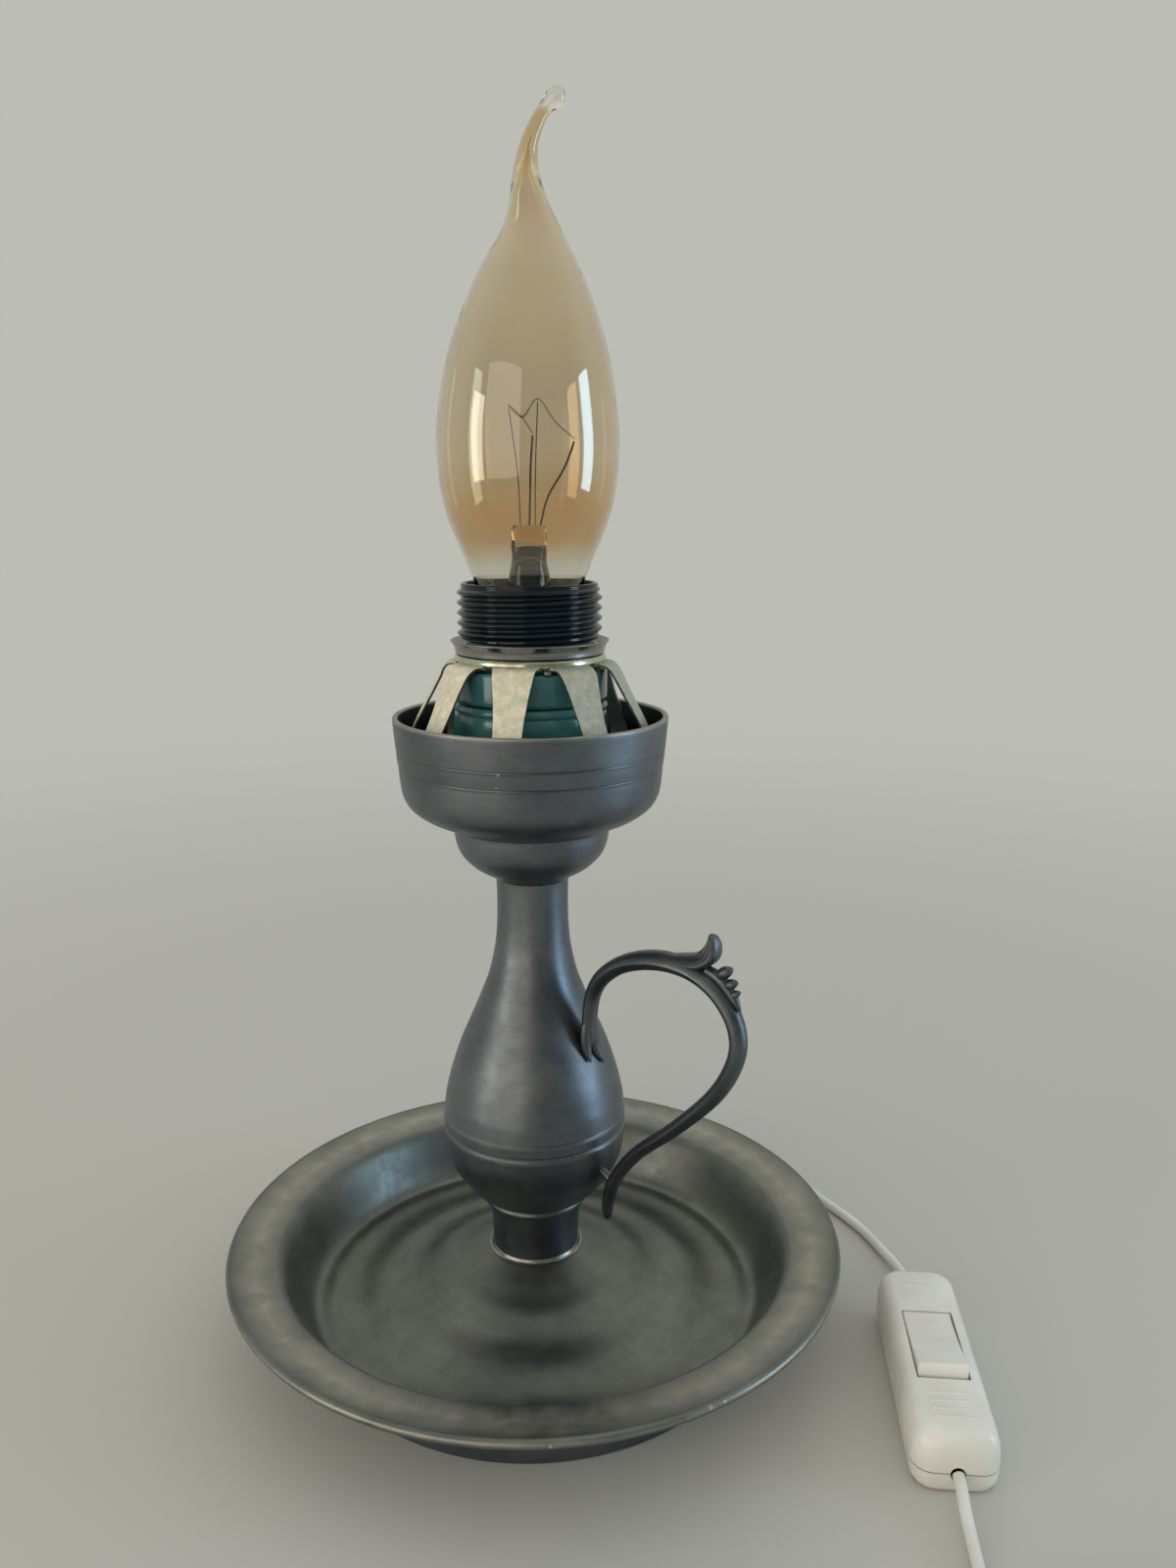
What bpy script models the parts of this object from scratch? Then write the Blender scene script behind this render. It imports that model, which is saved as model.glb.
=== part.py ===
# Table lamp made from a pewter chamberstick: a dish with a turned stem and a
# scroll handle, a cup that holds a small screw lampholder in a spring crown,
# a bent-tip candle bulb, and a thin white lead with a rocker switch and a plug.
# Lengths are in millimetres here and become metres when a mesh is made.
# +Z is up, the origin is on the table under the stem, -Y is the front.

import math

import bmesh
import bpy
from mathutils import Matrix, Vector

MM = 0.001
GAP = 0.3  # clearance between pieces that touch

# Facets round the turned pieces
DISH_STEPS = 32
CUP_STEPS = 28
STEM_STEPS = 20
BULB_STEPS = 16
SMALL_STEPS = 14

# Dish and foot
RIM_RADIUS = 64.3
RIM_BAND = 10.0
RIM_SLOPE = 1.2
RIM_EDGE = 1.9
WELL_RADIUS = 46.0
DISH_DEPTH = 13.1
DISH_SHEET = 1.1
HUMP_RISE = 10.1
RIPPLE_HEIGHT = 0.45
RIPPLE_PITCH = 12.5
RIPPLE_CREST = 32.0
FOOT_RADIUS = 46.0
FOOT_WALL = 2.6
FOOT_HEIGHT = 5.8

# Stem
COLLAR_HEIGHT = 12.0
COLLAR_FOOT_RADIUS = 9.0
COLLAR_BEAD_RADIUS = 10.8
COLLAR_BEAD = 1.8
BELLY_RADIUS = 18.9
LOWER_HEIGHT = 15.95
TAPER_HEIGHT = 43.9
NECK_RADIUS = 7.15
NECK_LENGTH = 8.4
STEM_WALL = 1.6
BAND_GROOVE_HEIGHT = 2.6  # from the belly seam up to the turned line
GROOVE_DEPTH = 0.35
GROOVE_WIDTH = 0.7

# Threaded tube that clamps the lamp together, with its nuts and washers
TUBE_RADIUS = 4.9
TUBE_BORE_RADIUS = 3.9
TUBE_PROUD = 2.2
NUT_ACROSS_FLATS = 14.0
NUT_HEIGHT = 3.0
WASHER_RADIUS = 8.2
WASHER_THICKNESS = 1.0

# Cup
BOWL_RADIUS = 15.4
BOWL_HEIGHT = 10.6
BOWL_WALL = 1.3
CUP_RIM_RADIUS = 26.95
CUP_SHOULDER_RADIUS = 25.5
CUP_SHOULDER_HEIGHT = 7.8
CUP_HEIGHT = 22.05
CUP_WALL = 1.1
CUP_GROOVE_HEIGHTS = (12.2, 15.4)

# Lampholder
HOLDER_BASE_HEIGHT = 18.85
HOLDER_BASE_RADIUS = 15.1
HOLDER_BASE_TOP_RADIUS = 13.4
HOLDER_BASE_FOOT_RADIUS = 9.5
HOLDER_WALL = 1.7
HOLDER_FLOOR = 2.4
SHELL_HEIGHT = 22.4
SHELL_RADIUS = 12.2
SHELL_BODY_RADIUS = 14.9  # the plain body under the crown
SHELL_BODY_DROP = 0.7  # from the crown to the body's shoulder
SHELL_MOUTH_WALL = 0.9
THREAD_ROOT_RADIUS = 13.2
THREAD_CREST_RADIUS = 13.9
THREAD_PITCH = 2.0
THREAD_CRESTS = 5
THREAD_TOP_MARGIN = 0.5
INSERT_CLEARANCE = 1.8
INSERT_FLOOR = 2.2
INSERT_HEIGHT = 22.0
CONTACT_STRIP = 0.5
CONTACT_WIDTH = 4.0
TERMINAL_SCREW_RADIUS = 1.0

# Flared ring and spring crown round the lampholder
FLARE_RADIUS = 15.3
FLARE_HEIGHT = 2.4
FLARE_BAND = 1.3  # the plain band under the flared lip
FLARE_SHEET = 0.5
CROWN_BEAD_RADIUS = 14.5
CROWN_HEIGHT = 1.9
CLAW_COUNT = 8
CLAW_FIRST_ANGLE = -101.2  # the claw nearest the front, slightly left of centre
CLAW_SHEET = 0.6
CLAW_TOP_WIDTH = 7.7
CLAW_TIP_WIDTH = 5.4
CLAW_KNEE_DROP = 16.0
CLAW_TIP_DROP = 21.0

# Bulb
CAP_RADIUS = 6.9
CAP_HEIGHT = 24.2
CAP_WALL = 0.45
CAP_SKIRT_RADIUS = 8.75
CAP_SKIRT_HEIGHT = 5.6
CAP_TIP_RADIUS = 2.3
CAP_TIP_HEIGHT = 1.1
SCREW_SHELL_WALL = 0.45
GLASS_WALL = 0.7
GLASS_RADIUS = 17.15
GLASS_HEIGHT = 99.1
FUSE_SLOT = 5.0
WIRE_RADIUS = 0.25

# Handle, in the upright plane through the stem's axis at this angle
HANDLE_ANGLE = -42.0
HANDLE_SIDES = 8
HANDLE_REACH = 30.5  # of the scroll's centre line beyond the belly
LEAF_HEIGHT = 17.4  # above the belly seam
LUG_DROP = 7.4  # below the belly seam
LUG_RADIUS = 1.3

# Lead
CORD_DIAMETER = 2.2
EXIT_ANGLE = 50.0
RELIEF_LENGTH = 22.0
COIL_MID_RADIUS = 13.2
COIL_SPACING = 0.42
COIL_LAYERS = 4
COIL_TURNS = 16.75
COIL_LIFT = 0.8
TIE_SHEET = 0.5
TIE_WIDTH = 3.0
TIE_ANGLE = -50.0

# Switch on the lead
SWITCH_LENGTH = 52.0
SWITCH_WIDTH = 16.0
SWITCH_HEIGHT = 11.6
SWITCH_SPLIT = 4.2
SWITCH_WALL = 1.6
SWITCH_CORNER = 4.0
SWITCH_PLACE = (77.72, -30.62)
SWITCH_ANGLE = -97.7
ROCKER_LENGTH = 19.2
ROCKER_WIDTH = 9.4
ROCKER_TILT = 7.0
ROCKER_PIN_RADIUS = 0.9
BLADE_LENGTH = 20.0
BLADE_TILT = 5.6

# Plug
PLUG_LENGTH = 36.0
PLUG_WIDTH = 35.3
PLUG_THICKNESS = 13.7
PLUG_PLACE = (28.0, -113.0)
PIN_RADIUS = 2.0
PIN_LENGTH = 19.0
PIN_SPACING = 18.6
PLUG_RELIEF_LENGTH = 22.0

# Heights that follow from the sizes above
dish_floor = FOOT_HEIGHT + GAP + DISH_SHEET
rim_top = dish_floor + DISH_DEPTH
hump_top = dish_floor + HUMP_RISE
collar_bottom = hump_top + GAP
collar_top = collar_bottom + COLLAR_HEIGHT
lower_bottom = collar_top + GAP
seam = lower_bottom + LOWER_HEIGHT
upper_bottom = seam + GAP
taper_top = upper_bottom + TAPER_HEIGHT
upper_top = taper_top + NECK_LENGTH
bowl_bottom = upper_top + GAP
bowl_top = bowl_bottom + BOWL_HEIGHT
cup_bottom = bowl_top + GAP
cup_floor = cup_bottom + CUP_WALL
cup_top = cup_bottom + CUP_HEIGHT
cup_washer_bottom = cup_floor + GAP
cup_nut_bottom = cup_washer_bottom + WASHER_THICKNESS + GAP
holder_bottom = cup_nut_bottom + NUT_HEIGHT + GAP
holder_base_top = holder_bottom + HOLDER_BASE_HEIGHT
shell_bottom = holder_base_top + GAP
shell_top = shell_bottom + SHELL_HEIGHT
thread_bottom = shell_top - THREAD_TOP_MARGIN - THREAD_CRESTS * THREAD_PITCH
insert_bottom = holder_bottom + HOLDER_FLOOR + INSERT_CLEARANCE
contact_bottom = insert_bottom + INSERT_FLOOR + GAP
bulb_bottom = contact_bottom + CONTACT_STRIP + GAP
cap_bottom = bulb_bottom + CAP_TIP_HEIGHT + 1.35
cap_top = cap_bottom + CAP_HEIGHT
cap_thread_top = cap_top - CAP_SKIRT_HEIGHT - 2.7
glass_bottom = cap_top - CAP_SKIRT_HEIGHT + 0.8
flare_bottom = thread_bottom - FLARE_HEIGHT - 0.3
crown_bottom = flare_bottom - GAP - CROWN_HEIGHT
tube_clear_radius = TUBE_RADIUS + GAP
crown_bore_radius = SHELL_RADIUS + GAP
insert_radius = SHELL_RADIUS - 0.8 - GAP
screw_shell_inner = CAP_RADIUS + GAP
screw_shell_outer = screw_shell_inner + SCREW_SHELL_WALL

FINISHES = {
    "pewter": ((0.24, 0.25, 0.25), 0.38, 1.0),
    "dark_bakelite": ((0.010, 0.016, 0.017), 0.18, 0.0),
    "zinc_steel": ((0.55, 0.53, 0.45), 0.42, 1.0),
    "plated_steel": ((0.50, 0.49, 0.46), 0.25, 1.0),
    "brass": ((0.66, 0.47, 0.20), 0.32, 1.0),
    "amber_glass": ((0.86, 0.62, 0.34), 0.04, 0.0),
    "clear_glass": ((0.90, 0.92, 0.91), 0.04, 0.0),
    "black_glass": ((0.012, 0.012, 0.014), 0.10, 0.0),
    "tungsten": ((0.11, 0.10, 0.10), 0.40, 1.0),
    "white_plastic": ((0.82, 0.81, 0.77), 0.34, 0.0),
    "white_flex": ((0.84, 0.83, 0.79), 0.45, 0.0),
    "porcelain": ((0.80, 0.78, 0.72), 0.30, 0.0),
}


def clear_scene():
    for old in list(bpy.data.objects):
        bpy.data.objects.remove(old, do_unlink=True)


def make_finishes():
    made = {}
    for name, (colour, roughness, metallic) in FINISHES.items():
        finish = bpy.data.materials.new(name)
        finish.use_nodes = True
        shader = finish.node_tree.nodes["Principled BSDF"]
        shader.inputs["Base Color"].default_value = (*colour, 1.0)
        shader.inputs["Roughness"].default_value = roughness
        shader.inputs["Metallic"].default_value = metallic
        if name.endswith("_glass") and name != "black_glass":
            shader.inputs["Transmission Weight"].default_value = 0.9
        made[name] = finish
    return made


def add_piece(name, bm, finish, parent=None, place=(0, 0, 0), sharp=40.0):
    """Makes an object from a bmesh in millimetres whose origin is at place."""
    bm.normal_update()
    bmesh.ops.recalc_face_normals(bm, faces=bm.faces)
    bm.transform(Matrix.Scale(MM, 4))
    mesh = bpy.data.meshes.new(name)
    bm.to_mesh(mesh)
    bm.free()
    mesh.shade_smooth()
    mesh.set_sharp_from_angle(angle=math.radians(sharp))
    mesh.materials.append(finishes[finish])
    piece = bpy.data.objects.new(name, mesh)
    bpy.context.scene.collection.objects.link(piece)
    piece.location = Vector(place) * MM
    piece.parent = parent
    return piece


def add_frame(name, place, angle):
    """An empty at a place on the table, turned about Z, that carries pieces."""
    frame = bpy.data.objects.new(name, None)
    bpy.context.scene.collection.objects.link(frame)
    frame.location = Vector(place) * MM
    frame.rotation_euler = (0, 0, math.radians(angle))
    return frame


def spin_profile(profile, steps, closed=True):
    """Turns (radius, height) points round Z. An open profile ends on the axis."""
    bm = bmesh.new()
    verts = [bm.verts.new((r, 0, z)) for r, z in profile]
    edges = [bm.edges.new(pair) for pair in zip(verts, verts[1:])]
    if closed:
        edges.append(bm.edges.new((verts[-1], verts[0])))
    bmesh.ops.spin(
        bm,
        geom=verts + edges,
        cent=(0, 0, 0),
        axis=(0, 0, 1),
        angle=2 * math.pi,
        steps=steps,
        use_merge=True,
    )
    bmesh.ops.remove_doubles(bm, verts=bm.verts, dist=0.0005)
    return bm


def turned(name, profile, finish, steps=STEM_STEPS, closed=True, parent=None, place=(0, 0, 0)):
    return add_piece(name, spin_profile(profile, steps, closed), finish, parent, place)


def ring_profile(inner, outer, bottom, top):
    return [(inner, bottom), (outer, bottom), (outer, top), (inner, top)]


def loft(rings, close_ends=True):
    """Bridges rings of points that all have the same count."""
    bm = bmesh.new()
    loops = [[bm.verts.new(p) for p in ring] for ring in rings]
    count = len(rings[0])
    for low, high in zip(loops, loops[1:]):
        for i in range(count):
            j = (i + 1) % count
            bm.faces.new((low[i], low[j], high[j], high[i]))
    if close_ends:
        bm.faces.new(list(reversed(loops[0])))
        bm.faces.new(loops[-1])
    return bm


def smooth_path(points, per_span):
    """A Catmull-Rom curve through the points, with per_span steps in each span."""
    points = [Vector(p) for p in points]
    ends = [2 * points[0] - points[1]] + points + [2 * points[-1] - points[-2]]
    out = []
    for a, b, c, d in zip(ends, ends[1:], ends[2:], ends[3:]):
        for k in range(per_span):
            t = k / per_span
            out.append(
                0.5 * (2 * b + (c - a) * t + (2 * a - 5 * b + 4 * c - d) * t * t
                       + (3 * b - a - 3 * c + d) * t * t * t)
            )
    out.append(points[-1])
    return out


def path_length(points):
    return sum((Vector(b) - Vector(a)).length for a, b in zip(points, points[1:]))


def spaced(points, spacing):
    """The points of a dense path, taken at even steps of about this spacing."""
    total = path_length(points)
    count = max(2, round(total / spacing))
    marks = [total * k / count for k in range(count + 1)]
    out = [points[0]]
    run = 0.0
    for a, b in zip(points, points[1:]):
        step = (b - a).length
        while len(out) < count and run + step >= marks[len(out)]:
            out.append(a.lerp(b, (marks[len(out)] - run) / step))
        run += step
    out.append(points[-1])
    return out


def tube(name, points, radius, finish, bevel_resolution=2):
    """A round tube along points, as a curve object with filled caps."""
    curve = bpy.data.curves.new(name, "CURVE")
    curve.dimensions = "3D"
    curve.bevel_depth = radius * MM
    curve.bevel_resolution = bevel_resolution
    curve.use_fill_caps = True
    spline = curve.splines.new("POLY")
    spline.points.add(len(points) - 1)
    for slot, p in zip(spline.points, points):
        slot.co = (p[0] * MM, p[1] * MM, p[2] * MM, 1.0)
    curve.materials.append(finishes[finish])
    piece = bpy.data.objects.new(name, curve)
    bpy.context.scene.collection.objects.link(piece)
    return piece


def cylinder(radius, start, end, steps=SMALL_STEPS, end_radius=None):
    """A cylinder or cone between two points, as a bmesh in millimetres."""
    start, end = Vector(start), Vector(end)
    bm = bmesh.new()
    bmesh.ops.create_cone(
        bm,
        cap_ends=True,
        segments=steps,
        radius1=radius,
        radius2=radius if end_radius is None else end_radius,
        depth=(end - start).length,
    )
    turn = Vector((0, 0, 1)).rotation_difference(end - start).to_matrix().to_4x4()
    bm.transform(Matrix.Translation((start + end) / 2) @ turn)
    return bm


def block(low, high):
    """A box between two corners, as a bmesh in millimetres."""
    bm = bmesh.new()
    bmesh.ops.create_cube(bm, size=1.0)
    size = [b - a for a, b in zip(low, high)]
    middle = [(a + b) / 2 for a, b in zip(low, high)]
    bm.transform(Matrix.Translation(middle) @ Matrix.Diagonal((*size, 1.0)))
    return bm


def rounded_block(length, width, bottom, top, corner, edge=0.0):
    """A box round the origin with rounded upright corners and a softened top edge."""
    bm = block((-length / 2, -width / 2, bottom), (length / 2, width / 2, top))
    upright = [e for e in bm.edges if abs(e.verts[0].co.z - e.verts[1].co.z) > 1e-3]
    bmesh.ops.bevel(
        bm, geom=upright, offset=corner, segments=3, profile=0.5, affect="EDGES", material=-1
    )
    if edge:
        rim = [e for e in bm.edges if all(abs(v.co.z - top) < 1e-3 for v in e.verts)]
        bmesh.ops.bevel(
            bm, geom=rim, offset=edge, segments=2, profile=0.5, affect="EDGES", material=-1
        )
    return bm


def helper(name, bm, parent=None, place=(0, 0, 0)):
    """A hidden solid that cuts or joins another piece."""
    piece = add_piece(name, bm, "pewter", parent, place)
    piece.hide_render = True
    piece.display_type = "WIRE"
    return piece


def combine(piece, other, operation):
    step = piece.modifiers.new(other.name, "BOOLEAN")
    step.object = other
    step.operation = operation
    step.solver = "EXACT"


# Dish: hump, rippled well, coved wall and flat rim with a turned edge


def blend_cosine(t):
    t = min(max(t, 0.0), 1.0)
    return (1 - math.cos(math.pi * t)) / 2


hump_flat_radius = max(COLLAR_FOOT_RADIUS, WASHER_RADIUS) + 0.8
band_radius = RIM_RADIUS - RIM_BAND
band_height = rim_top - RIM_SLOPE


def dish_base(r):
    """The dish's height at a radius, without its ripples."""
    if r <= hump_flat_radius:
        return hump_top
    if r <= WELL_RADIUS:
        t = (r - hump_flat_radius) / (WELL_RADIUS - hump_flat_radius)
        return dish_floor + HUMP_RISE * (1 - t) ** 1.54
    if r <= band_radius:
        t = (r - WELL_RADIUS) / (band_radius - WELL_RADIUS)
        return dish_floor + (band_height - dish_floor) * blend_cosine(t)
    return band_height + RIM_SLOPE * (r - band_radius) / RIM_BAND


def ripple(r):
    wave = math.cos(2 * math.pi * (r - RIPPLE_CREST) / RIPPLE_PITCH)
    fade_in = blend_cosine((r - hump_flat_radius - 4) / 8)
    fade_out = 1 - blend_cosine((r - WELL_RADIUS + 4) / 4)
    return RIPPLE_HEIGHT * wave * fade_in * fade_out


def spread(start, end, count):
    return [start + (end - start) * k / count for k in range(count + 1)]


def make_dish():
    top = [(tube_clear_radius, hump_top)]
    top += [(r, dish_base(r) + ripple(r)) for r in spread(hump_flat_radius, WELL_RADIUS, 12)]
    top += [(r, dish_base(r)) for r in spread(WELL_RADIUS, band_radius, 4)[1:]]
    edge = RIM_EDGE / 2
    top.append((RIM_RADIUS - edge, dish_base(RIM_RADIUS)))
    top.append((RIM_RADIUS, rim_top - edge))
    top.append((RIM_RADIUS - 0.6 * edge, rim_top - RIM_EDGE))
    under_band = band_radius + 1.0
    under = [(RIM_RADIUS - 1.6 * RIM_EDGE, dish_base(RIM_RADIUS - 3) - DISH_SHEET)]
    under += [
        (r, dish_base(r - 1.0) - DISH_SHEET)
        for r in reversed(spread(WELL_RADIUS + 1.0, under_band, 3))
    ]
    under += [
        (r, dish_base(r) - DISH_SHEET)
        for r in reversed(spread(hump_flat_radius, WELL_RADIUS - 1.5, 3))
    ]
    under.append((tube_clear_radius, hump_top - DISH_SHEET))
    turned("dish", top + under, "pewter", DISH_STEPS)


def radial(angle, distance, z):
    a = math.radians(angle)
    return Vector((distance * math.cos(a), distance * math.sin(a), z))


def facet_sag(radius, steps):
    """How far the flats of a faceted circle lie inside its radius."""
    return radius * (1 - math.cos(math.pi / steps))


foot_inside = FOOT_RADIUS - FOOT_WALL
foot_inside -= facet_sag(foot_inside, DISH_STEPS)
relief_height = max(FOOT_HEIGHT / 2, CORD_DIAMETER / 2 + 1.6)
relief_neck_radius = CORD_DIAMETER / 2 + 0.6


def make_foot():
    profile = [
        (FOOT_RADIUS - FOOT_WALL, 0),
        (FOOT_RADIUS - 0.4, 0),
        (FOOT_RADIUS, 0.6),
        (FOOT_RADIUS - 0.2, FOOT_HEIGHT),
        (FOOT_RADIUS - FOOT_WALL, FOOT_HEIGHT),
    ]
    foot = turned("foot_ring", profile, "pewter", DISH_STEPS)
    drill = cylinder(
        relief_neck_radius + GAP,
        radial(EXIT_ANGLE, FOOT_RADIUS - FOOT_WALL - 3, relief_height),
        radial(EXIT_ANGLE, FOOT_RADIUS + 3, relief_height),
        12,
    )
    combine(foot, helper("lead_drill", drill), "DIFFERENCE")


relief_start = foot_inside - GAP - 1.0
relief_end = FOOT_RADIUS + GAP + RELIEF_LENGTH


def make_strain_relief():
    """A moulded gland: a flange each side of the foot's wall and a long taper."""
    flange = relief_neck_radius + 0.8
    tip = CORD_DIAMETER / 2 + 0.2
    wall_in = foot_inside - GAP
    wall_out = FOOT_RADIUS + GAP
    profile = [
        (0, relief_start),
        (flange, relief_start),
        (flange, wall_in),
        (relief_neck_radius, wall_in),
        (relief_neck_radius, wall_out),
        (flange, wall_out),
        (flange, wall_out + 1.2),
        (relief_neck_radius + 0.3, wall_out + 1.8),
        (tip, relief_end),
        (0, relief_end),
    ]
    bm = spin_profile(profile, 12, closed=False)
    lie = Matrix.Rotation(math.radians(90), 4, "Y")
    turn = Matrix.Rotation(math.radians(EXIT_ANGLE), 4, "Z")
    bm.transform(Matrix.Translation((0, 0, relief_height)) @ turn @ lie)
    add_piece("strain_relief", bm, "white_flex")


# Stem: a short collar and a bottle made of two shells that meet at the belly


def lower_radius(z):
    """Outside of the lower shell, a part of an ellipse down to the collar."""
    half = LOWER_HEIGHT / math.sqrt(1 - (COLLAR_BEAD_RADIUS / BELLY_RADIUS) ** 2)
    return BELLY_RADIUS * math.sqrt(max(0.0, 1 - ((seam - z) / half) ** 2))


def upper_radius(z):
    """Outside of the upper shell, easing from the belly to the neck."""
    drop = 1 - blend_cosine((z - upper_bottom) / TAPER_HEIGHT)
    return NECK_RADIUS + (BELLY_RADIUS - NECK_RADIUS) * drop


def groove(radius, z):
    """Three points that cut a turned line into an outside wall, bottom to top."""
    half = GROOVE_WIDTH / 2
    return [(radius, z - half), (radius - GROOVE_DEPTH, z), (radius, z + half)]


def make_stem():
    bead = COLLAR_BEAD / 2
    waist = COLLAR_BEAD_RADIUS - 1.2
    profile = [
        (tube_clear_radius, collar_bottom),
        (COLLAR_FOOT_RADIUS, collar_bottom),
        (waist, collar_top - COLLAR_BEAD - 0.4),
        (COLLAR_BEAD_RADIUS - 0.3, collar_top - 1.6 * bead),
        (COLLAR_BEAD_RADIUS, collar_top - bead),
        (COLLAR_BEAD_RADIUS - 0.3, collar_top - 0.3 * bead),
        (COLLAR_BEAD_RADIUS - 0.9, collar_top),
        (tube_clear_radius, collar_top),
    ]
    turned("stem_collar", profile, "pewter")

    outside = [(lower_radius(z), z) for z in spread(lower_bottom, seam, 7)]
    floor = lower_bottom + STEM_WALL
    inside = [
        (max(tube_clear_radius, lower_radius(z) - STEM_WALL), z)
        for z in reversed(spread(floor, seam, 4))
    ]
    ends = [(tube_clear_radius, floor), (tube_clear_radius, lower_bottom)]
    turned("stem_lower", outside + inside + ends, "pewter")

    line = upper_bottom + BAND_GROOVE_HEIGHT
    outside = [(BELLY_RADIUS, upper_bottom)]
    outside += groove(upper_radius(line), line)
    outside += [(upper_radius(z), z) for z in spread(line + 2.4, taper_top, 10)]
    outside.append((NECK_RADIUS, upper_top))
    inside = [
        (max(tube_clear_radius, upper_radius(z) - STEM_WALL), z)
        for z in reversed(spread(upper_bottom, taper_top, 4))
    ]
    turned("stem_upper", outside + [(tube_clear_radius, upper_top)] + inside, "pewter")


# Clamping tube, washers and nuts


def make_nut(name, bottom):
    """A hexagon nut with a clear bore, made in place on the stem's axis."""
    corner = NUT_ACROSS_FLATS / math.sqrt(3)
    bm = bmesh.new()
    bmesh.ops.create_cone(
        bm, cap_ends=True, segments=6, radius1=corner, radius2=corner, depth=NUT_HEIGHT
    )
    bm.transform(Matrix.Translation((0, 0, bottom + NUT_HEIGHT / 2)))
    nut = add_piece(name, bm, "plated_steel")
    bore = cylinder(tube_clear_radius, (0, 0, bottom - 2), (0, 0, bottom + NUT_HEIGHT + 2))
    combine(nut, helper(name + "_bore", bore), "DIFFERENCE")


def make_clamp():
    washer_top = hump_top - DISH_SHEET - GAP
    nut_bottom = washer_top - WASHER_THICKNESS - GAP - NUT_HEIGHT
    tube_bottom = nut_bottom - TUBE_PROUD
    tube_top = holder_bottom + HOLDER_FLOOR + 0.5
    profile = ring_profile(TUBE_BORE_RADIUS, TUBE_RADIUS, tube_bottom, tube_top)
    turned("threaded_tube", profile, "plated_steel", SMALL_STEPS)
    profile = ring_profile(
        tube_clear_radius, WASHER_RADIUS, washer_top - WASHER_THICKNESS, washer_top
    )
    turned("base_washer", profile, "plated_steel", SMALL_STEPS)
    make_nut("base_nut", nut_bottom)
    profile = ring_profile(
        tube_clear_radius,
        WASHER_RADIUS,
        cup_washer_bottom,
        cup_washer_bottom + WASHER_THICKNESS,
    )
    turned("cup_washer", profile, "plated_steel", SMALL_STEPS)
    make_nut("holder_nut", cup_nut_bottom)
    return tube_bottom, tube_top


# Cup on its little bowl


def bowl_radius(z):
    drop = min(1.0, max(0.0, (bowl_top - z) / (BOWL_HEIGHT * 1.01)))
    return BOWL_RADIUS * math.sqrt(1 - drop**2.5)


def cup_radius(z):
    """Outside of the cup: a round shoulder, then a slightly flared wall."""
    shoulder = cup_bottom + CUP_SHOULDER_HEIGHT
    if z >= shoulder:
        t = (z - shoulder) / (cup_top - shoulder)
        return CUP_SHOULDER_RADIUS + (CUP_RIM_RADIUS - CUP_SHOULDER_RADIUS) * t
    drop = min(1.0, (shoulder - z) / CUP_SHOULDER_HEIGHT)
    reach = CUP_SHOULDER_RADIUS - BOWL_RADIUS
    return BOWL_RADIUS + reach * (1 - drop**1.75) ** (1 / 1.75)


def cup_inside(z):
    """Inside of the cup, a wall's thickness from the outside."""
    shoulder = cup_bottom + CUP_SHOULDER_HEIGHT
    if z >= shoulder:
        return cup_radius(z) - CUP_WALL
    drop = min(1.0, (shoulder - z) / (shoulder - cup_floor))
    reach = CUP_SHOULDER_RADIUS - BOWL_RADIUS - CUP_WALL
    return BOWL_RADIUS + reach * (1 - drop**1.75) ** (1 / 1.75)


def make_cup():
    foot = bowl_bottom + 0.12 * BOWL_HEIGHT
    outside = [(NECK_RADIUS, bowl_bottom)]
    outside += [(bowl_radius(z), z) for z in spread(foot, bowl_top, 6)]
    inner_foot = bowl_bottom + BOWL_WALL + 0.06 * BOWL_HEIGHT
    inside = [
        (max(tube_clear_radius + 0.2, bowl_radius(z - 0.4) - BOWL_WALL), z)
        for z in reversed(spread(inner_foot, bowl_top, 3))
    ]
    ends = [(tube_clear_radius, bowl_bottom + BOWL_WALL), (tube_clear_radius, bowl_bottom)]
    turned("cup_bowl", outside + inside + ends, "pewter")

    shoulder = cup_bottom + CUP_SHOULDER_HEIGHT
    outside = [(tube_clear_radius, cup_bottom), (BOWL_RADIUS, cup_bottom)]
    outside += [(cup_radius(z), z) for z in spread(cup_bottom, shoulder, 6)[1:]]
    for height in CUP_GROOVE_HEIGHTS:
        outside += groove(cup_radius(cup_bottom + height), cup_bottom + height)
    outside.append((CUP_RIM_RADIUS, cup_top - 0.3))
    outside.append((CUP_RIM_RADIUS - 0.3, cup_top))
    inside = [(CUP_RIM_RADIUS - CUP_WALL, cup_top)]
    inside += [(cup_inside(z), z) for z in reversed(spread(cup_floor, shoulder, 4))]
    inside.append((tube_clear_radius, cup_floor))
    turned("cup", outside + inside, "pewter", CUP_STEPS)


# Lampholder: base, threaded shell, insert, screw shell and contacts


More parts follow.
